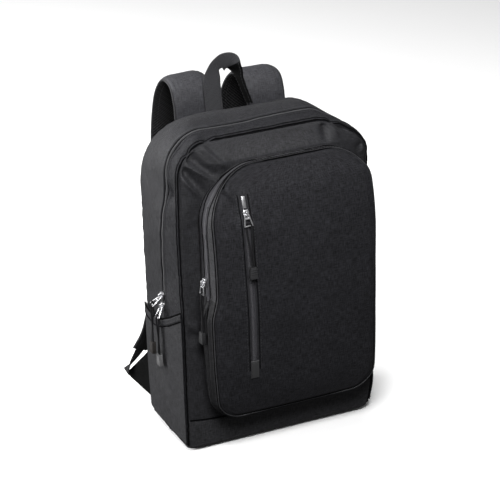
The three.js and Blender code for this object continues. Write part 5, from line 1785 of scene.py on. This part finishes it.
@dataclass
class Pull:
    """Zip pull: slider and link of plated metal, a doubled cord and a moulded tip."""

    name: str
    place: Array
    normal: Array
    zip_up: Array
    swing: float
    lean: float
    tilt: float
    rubber: Finish = RUBBER
    drop: float = 52.0
    diameter: float = 2.2
    loop: float = 3.6
    strand_gap: float = 0.3
    slider_long: float = 11.0
    slider_high: float = 3.2
    bridge_sink: float = 0.4
    eye_floor: float = 0.7
    eye_back: float = 0.2
    link: Pair = (15.0, 1.4)
    ribs: Triple = (3.2, 6.0, 8.8)
    rib_radius: float = 0.42
    tip: tuple[float, float, float, float] = (3.85, 4.95, 2.65, 15.0)

    def hang(self) -> tuple[Array, Array, Array, Array]:
        """Where the cord hangs from the link: the point, and the axes across, up and off the cloth.

        The slider sits on the zip with its eye behind its middle. The link turns in the eye, leaning off the
        cloth and swinging aside. The cord's upward line tilts off the vertical.

        Returns:
            Point and three unit axes.
        """
        long, bar = self.link
        out = unit(self.normal)
        up = unit(self.zip_up - out * (self.zip_up @ out))
        axes = np.stack([np.cross(up, out), up, out], -1)
        eye = bar * math.sqrt(2) + 2 * GAP
        height = GAP + self.slider_high - self.bridge_sink + self.eye_floor + eye / 2
        pivot = np.array([0.0, -self.slider_long * self.eye_back + eye / 2, height])
        cos, sin = math.cos(-self.lean), math.sin(-self.lean)
        leaned = np.array([[1, 0, 0], [0, cos, -sin], [0, sin, cos]])
        cos, sin = math.cos(self.swing), math.sin(self.swing)
        swung = np.array([[cos, -sin, 0], [sin, cos, 0], [0, 0, 1]])
        point = self.place + axes @ (pivot + leaned @ swung @ np.array([0.0, bar - long, 0.0]))
        flat = unit(np.array([out[0], out[1], 0.0]))
        upward = np.array([0.0, 0.0, 1.0]) * math.cos(self.tilt) - flat * math.sin(self.tilt)
        away = -np.cross(upward, np.cross(flat, upward))
        return point, np.cross(upward, away), upward, away

    def route(self, count: int) -> Array:
        """Cord's middle line: up one strand from the tip, through the link and down the other strand."""
        slant, side = self.loop * math.sqrt(0.5), (self.diameter + self.strand_gap) / 2
        strand = np.array([(side, -self.drop, 0.0), (side * 1.1, -self.drop * 0.8, 0.2),
                           (mix(side, slant, 0.45), -self.drop * 0.5, slant * 0.4),
                           (slant, -self.drop * 0.2, slant * 0.9), (slant, 0.0, slant)])
        angle = np.radians([45, 90, 135])
        turn = np.stack([np.cos(angle) * slant, np.sin(angle) * self.loop, np.cos(angle) * slant], -1)
        local = np.vstack([strand, turn, (strand * np.array([-1, 1, -1]))[::-1]])
        point, across, up, off = self.hang()
        return point + through(local, np.linspace(0, 1, count)) @ np.stack([across, up, off])

    def build(self) -> None:
        """Builds the cord first, then the metal and the tip with its moulded ribs."""
        route = self.route(110)
        _, across, up, off = self.hang()
        braid = tube_shape(route, repeated(off, len(route)), self.diameter / 2, 12)
        cord = MAKE.piece(f"{self.name}_cord_braid", braid, [CORD], "pull_cord", [f"{self.name}_cord"])
        tip = MAKE.hardware(f"{self.name}_tip", self.rubber, bevel=0.9)
        MAKE.hardware(f"{self.name}_slider", METAL, bevel=0.45)
        MAKE.hardware(f"{self.name}_link", METAL, bevel=0.3)
        (self.route(34) * MM).tolist()
        top = route[[0, -1]].mean(0) - up * GAP
        narrow, broad, half_deep, long = self.tip
        turn, square = np.linspace(0, TAU, 41), 0.35
        cos, sin = np.cos(turn)[:, None], np.sin(turn)[:, None]
        wave_x, wave_z = np.sign(cos) * np.abs(cos) ** square, np.sign(sin) * np.abs(sin) ** square
        ribs = []
        for drop in self.ribs:
            half_wide = mix(narrow, broad, drop / long)
            path = top - up * drop + across * wave_x * half_wide + off * wave_z * half_deep
            ribs.append(tube_shape(path, repeated(up, len(path)), self.rib_radius, 6))
        MAKE.piece(f"{self.name}_tip_ribs", joined(ribs), [self.rubber], "pull_tip")


def zip_seat(surface: Surface, along: float, across: float, rise: float) -> tuple[Array, Array, Array]:
    """Seat of a slider on a zip.

    Args:
        surface: Surface with the zip.
        along: First station.
        across: Second station.
        rise: Height over the surface in millimetres.

    Returns:
        Place, outward normal and line up the zip.
    """
    step, aside = 0.004, 0.02
    along, across = np.array(along), np.array(across)
    at = surface(along, across)
    up = unit(surface(along + step, across) - at)
    beside = unit(surface(along, across + aside) - surface(along, across - aside))
    normal = np.cross(up, beside)
    return at + normal * rise, normal, up


def pulls(body: Body, pocket: Pocket, slot: Slot) -> list[Pull]:
    """The four zip pulls where their zips have them, each with its swing, lean and tilt."""
    made, rise = [], 0.6
    main_pulls = (("main_upper", 206.0, -0.14, 1.0, 0.04, BROWN_RUBBER),
                  ("main_lower", 191.0, 0.27, 0.63, 0.0, GREY_RUBBER))
    for name, height, swing, lean, tilt, rubber in main_pulls:
        p = body.place_at(height)
        seat = zip_seat(body.point, p, float(body.zip_share(np.array(p))), rise)
        made.append(Pull(name, *seat, swing, lean, tilt, rubber))
    seat = zip_seat(pocket.point, pocket.zip_start + 0.02, 0.5, rise)
    made.append(Pull("pocket", *seat, swing=0.0, lean=0.1, tilt=0.04))
    below_stop, sunk = 8.0, 0.1
    height = slot.high - slot.stop_long - below_stop
    seat = zip_seat(lambda z, x: pocket.face_point(-x, z), height, -slot.x, -sunk)
    made.append(Pull("slot", *seat, swing=0.05, lean=0.02, tilt=0.17))
    return made


# Stage


@dataclass(frozen=True)
class Lamp:
    """Square area light: its name, its place and size in metres and its power in watts."""

    name: str
    place: Triple
    size: float
    power: float

    def hang(self, aim: Sequence[float]) -> None:
        """Hangs the light at its place, aimed at a point."""
        lamp = bpy.data.lights.new(self.name, "AREA")
        lamp.shape, lamp.size, lamp.energy = "SQUARE", self.size, self.power
        thing = placed(self.name, lamp)
        thing.location = self.place
        thing.rotation_euler = (Vector(aim) - Vector(self.place)).to_track_quat("-Z", "Y").to_euler()


@dataclass
class Stage:
    """Camera at the photograph's angle, soft studio lights and a pale floor."""

    azimuth: float = -23.0
    elevation: float = 24.0
    roll: float = -2.3
    focal: float = 2200.0
    look: Triple = (-0.007, 0.0, 0.236)
    distance: float = 2.835
    half_picture: float = 250.0
    floor: float = 6.0
    surround: float = 0.15
    aim: Triple = (0.0, 0.0, 0.24)
    lamps: tuple[Lamp, ...] = (
        Lamp("key", (-1.8, 1.0, 0.85), 1.0, 92), Lamp("top", (-0.3, 0.1, 2.3), 1.4, 36),
        Lamp("front", (-0.4, -1.0, 1.2), 0.5, 33), Lamp("back", (-0.9, 1.9, 1.4), 1.2, 12))

    def camera(self) -> None:
        """Makes the camera: it looks at a point from its angle, rolled about its own line of sight."""
        a, e, r = (math.radians(x) for x in (self.azimuth, self.elevation, self.roll))
        back = Vector((math.sin(a) * math.cos(e), -math.cos(a) * math.cos(e), math.sin(e)))
        right = Vector((math.cos(a), math.sin(a), 0.0))
        up = back.cross(right)
        rolled = right * math.cos(r) + up * math.sin(r)
        turned = back.cross(rolled)
        lens = bpy.data.cameras.new("camera")
        lens.angle = 2 * math.atan(self.half_picture / self.focal)
        lens.clip_end = 50.0
        camera = placed("camera", lens)
        place = Vector(self.look) + back * self.distance
        camera.matrix_world = Matrix.Translation(place) @ Matrix((rolled, turned, back)).transposed().to_4x4()
        bpy.context.scene.camera = camera

    def dress(self) -> None:
        """Makes the floor, the lights and the white surroundings."""
        mesh, far = bpy.data.meshes.new("floor"), self.floor
        mesh.from_pydata([(-far, -far, 0), (far, -far, 0), (far, far, 0), (-far, far, 0)], [], [(0, 1, 2, 3)])
        mesh.materials.append(MAKE.finish(Studio("paper_floor")))
        floor = placed("floor", mesh)
        floor.visible_diffuse = False
        floor.visible_glossy = False
        for lamp in self.lamps:
            lamp.hang(self.aim)
        world = bpy.data.worlds.new("studio")
        bpy.context.scene.world = world
        world.use_nodes = True
        background = world.node_tree.nodes["Background"]
        background.inputs[0].default_value = (1.0, 1.0, 1.0, 1.0)
        background.inputs[1].default_value = self.surround
        bpy.context.scene.view_settings.view_transform = "Standard"


def main() -> None:
    """Builds the rucksack: camera and cords first, then the body, the pocket, the straps and the stage."""
    logging.basicConfig(level=logging.INFO, format="%(name)s: %(message)s")
    stage = Stage()
    stage.camera()
    body = Body()
    pocket, slot = Pocket(body), Slot()
    for pull in pulls(body, pocket, slot):
        pull.build()
    LOG.info("pulls built")
    body.build_panels()
    body.build_gussets()
    body.build_zip()
    body.build_base()
    body.dress()
    LOG.info("body built")
    pocket.build(slot)
    slot.build(pocket)
    pocket.dress()
    LOG.info("pocket built")
    for side in Side:
        SidePocket(body, side).build()
        Strap(body, side).build()
    Handle().build()
    LOG.info("straps built")
    stage.dress()


if __name__ == "__main__":
    main()
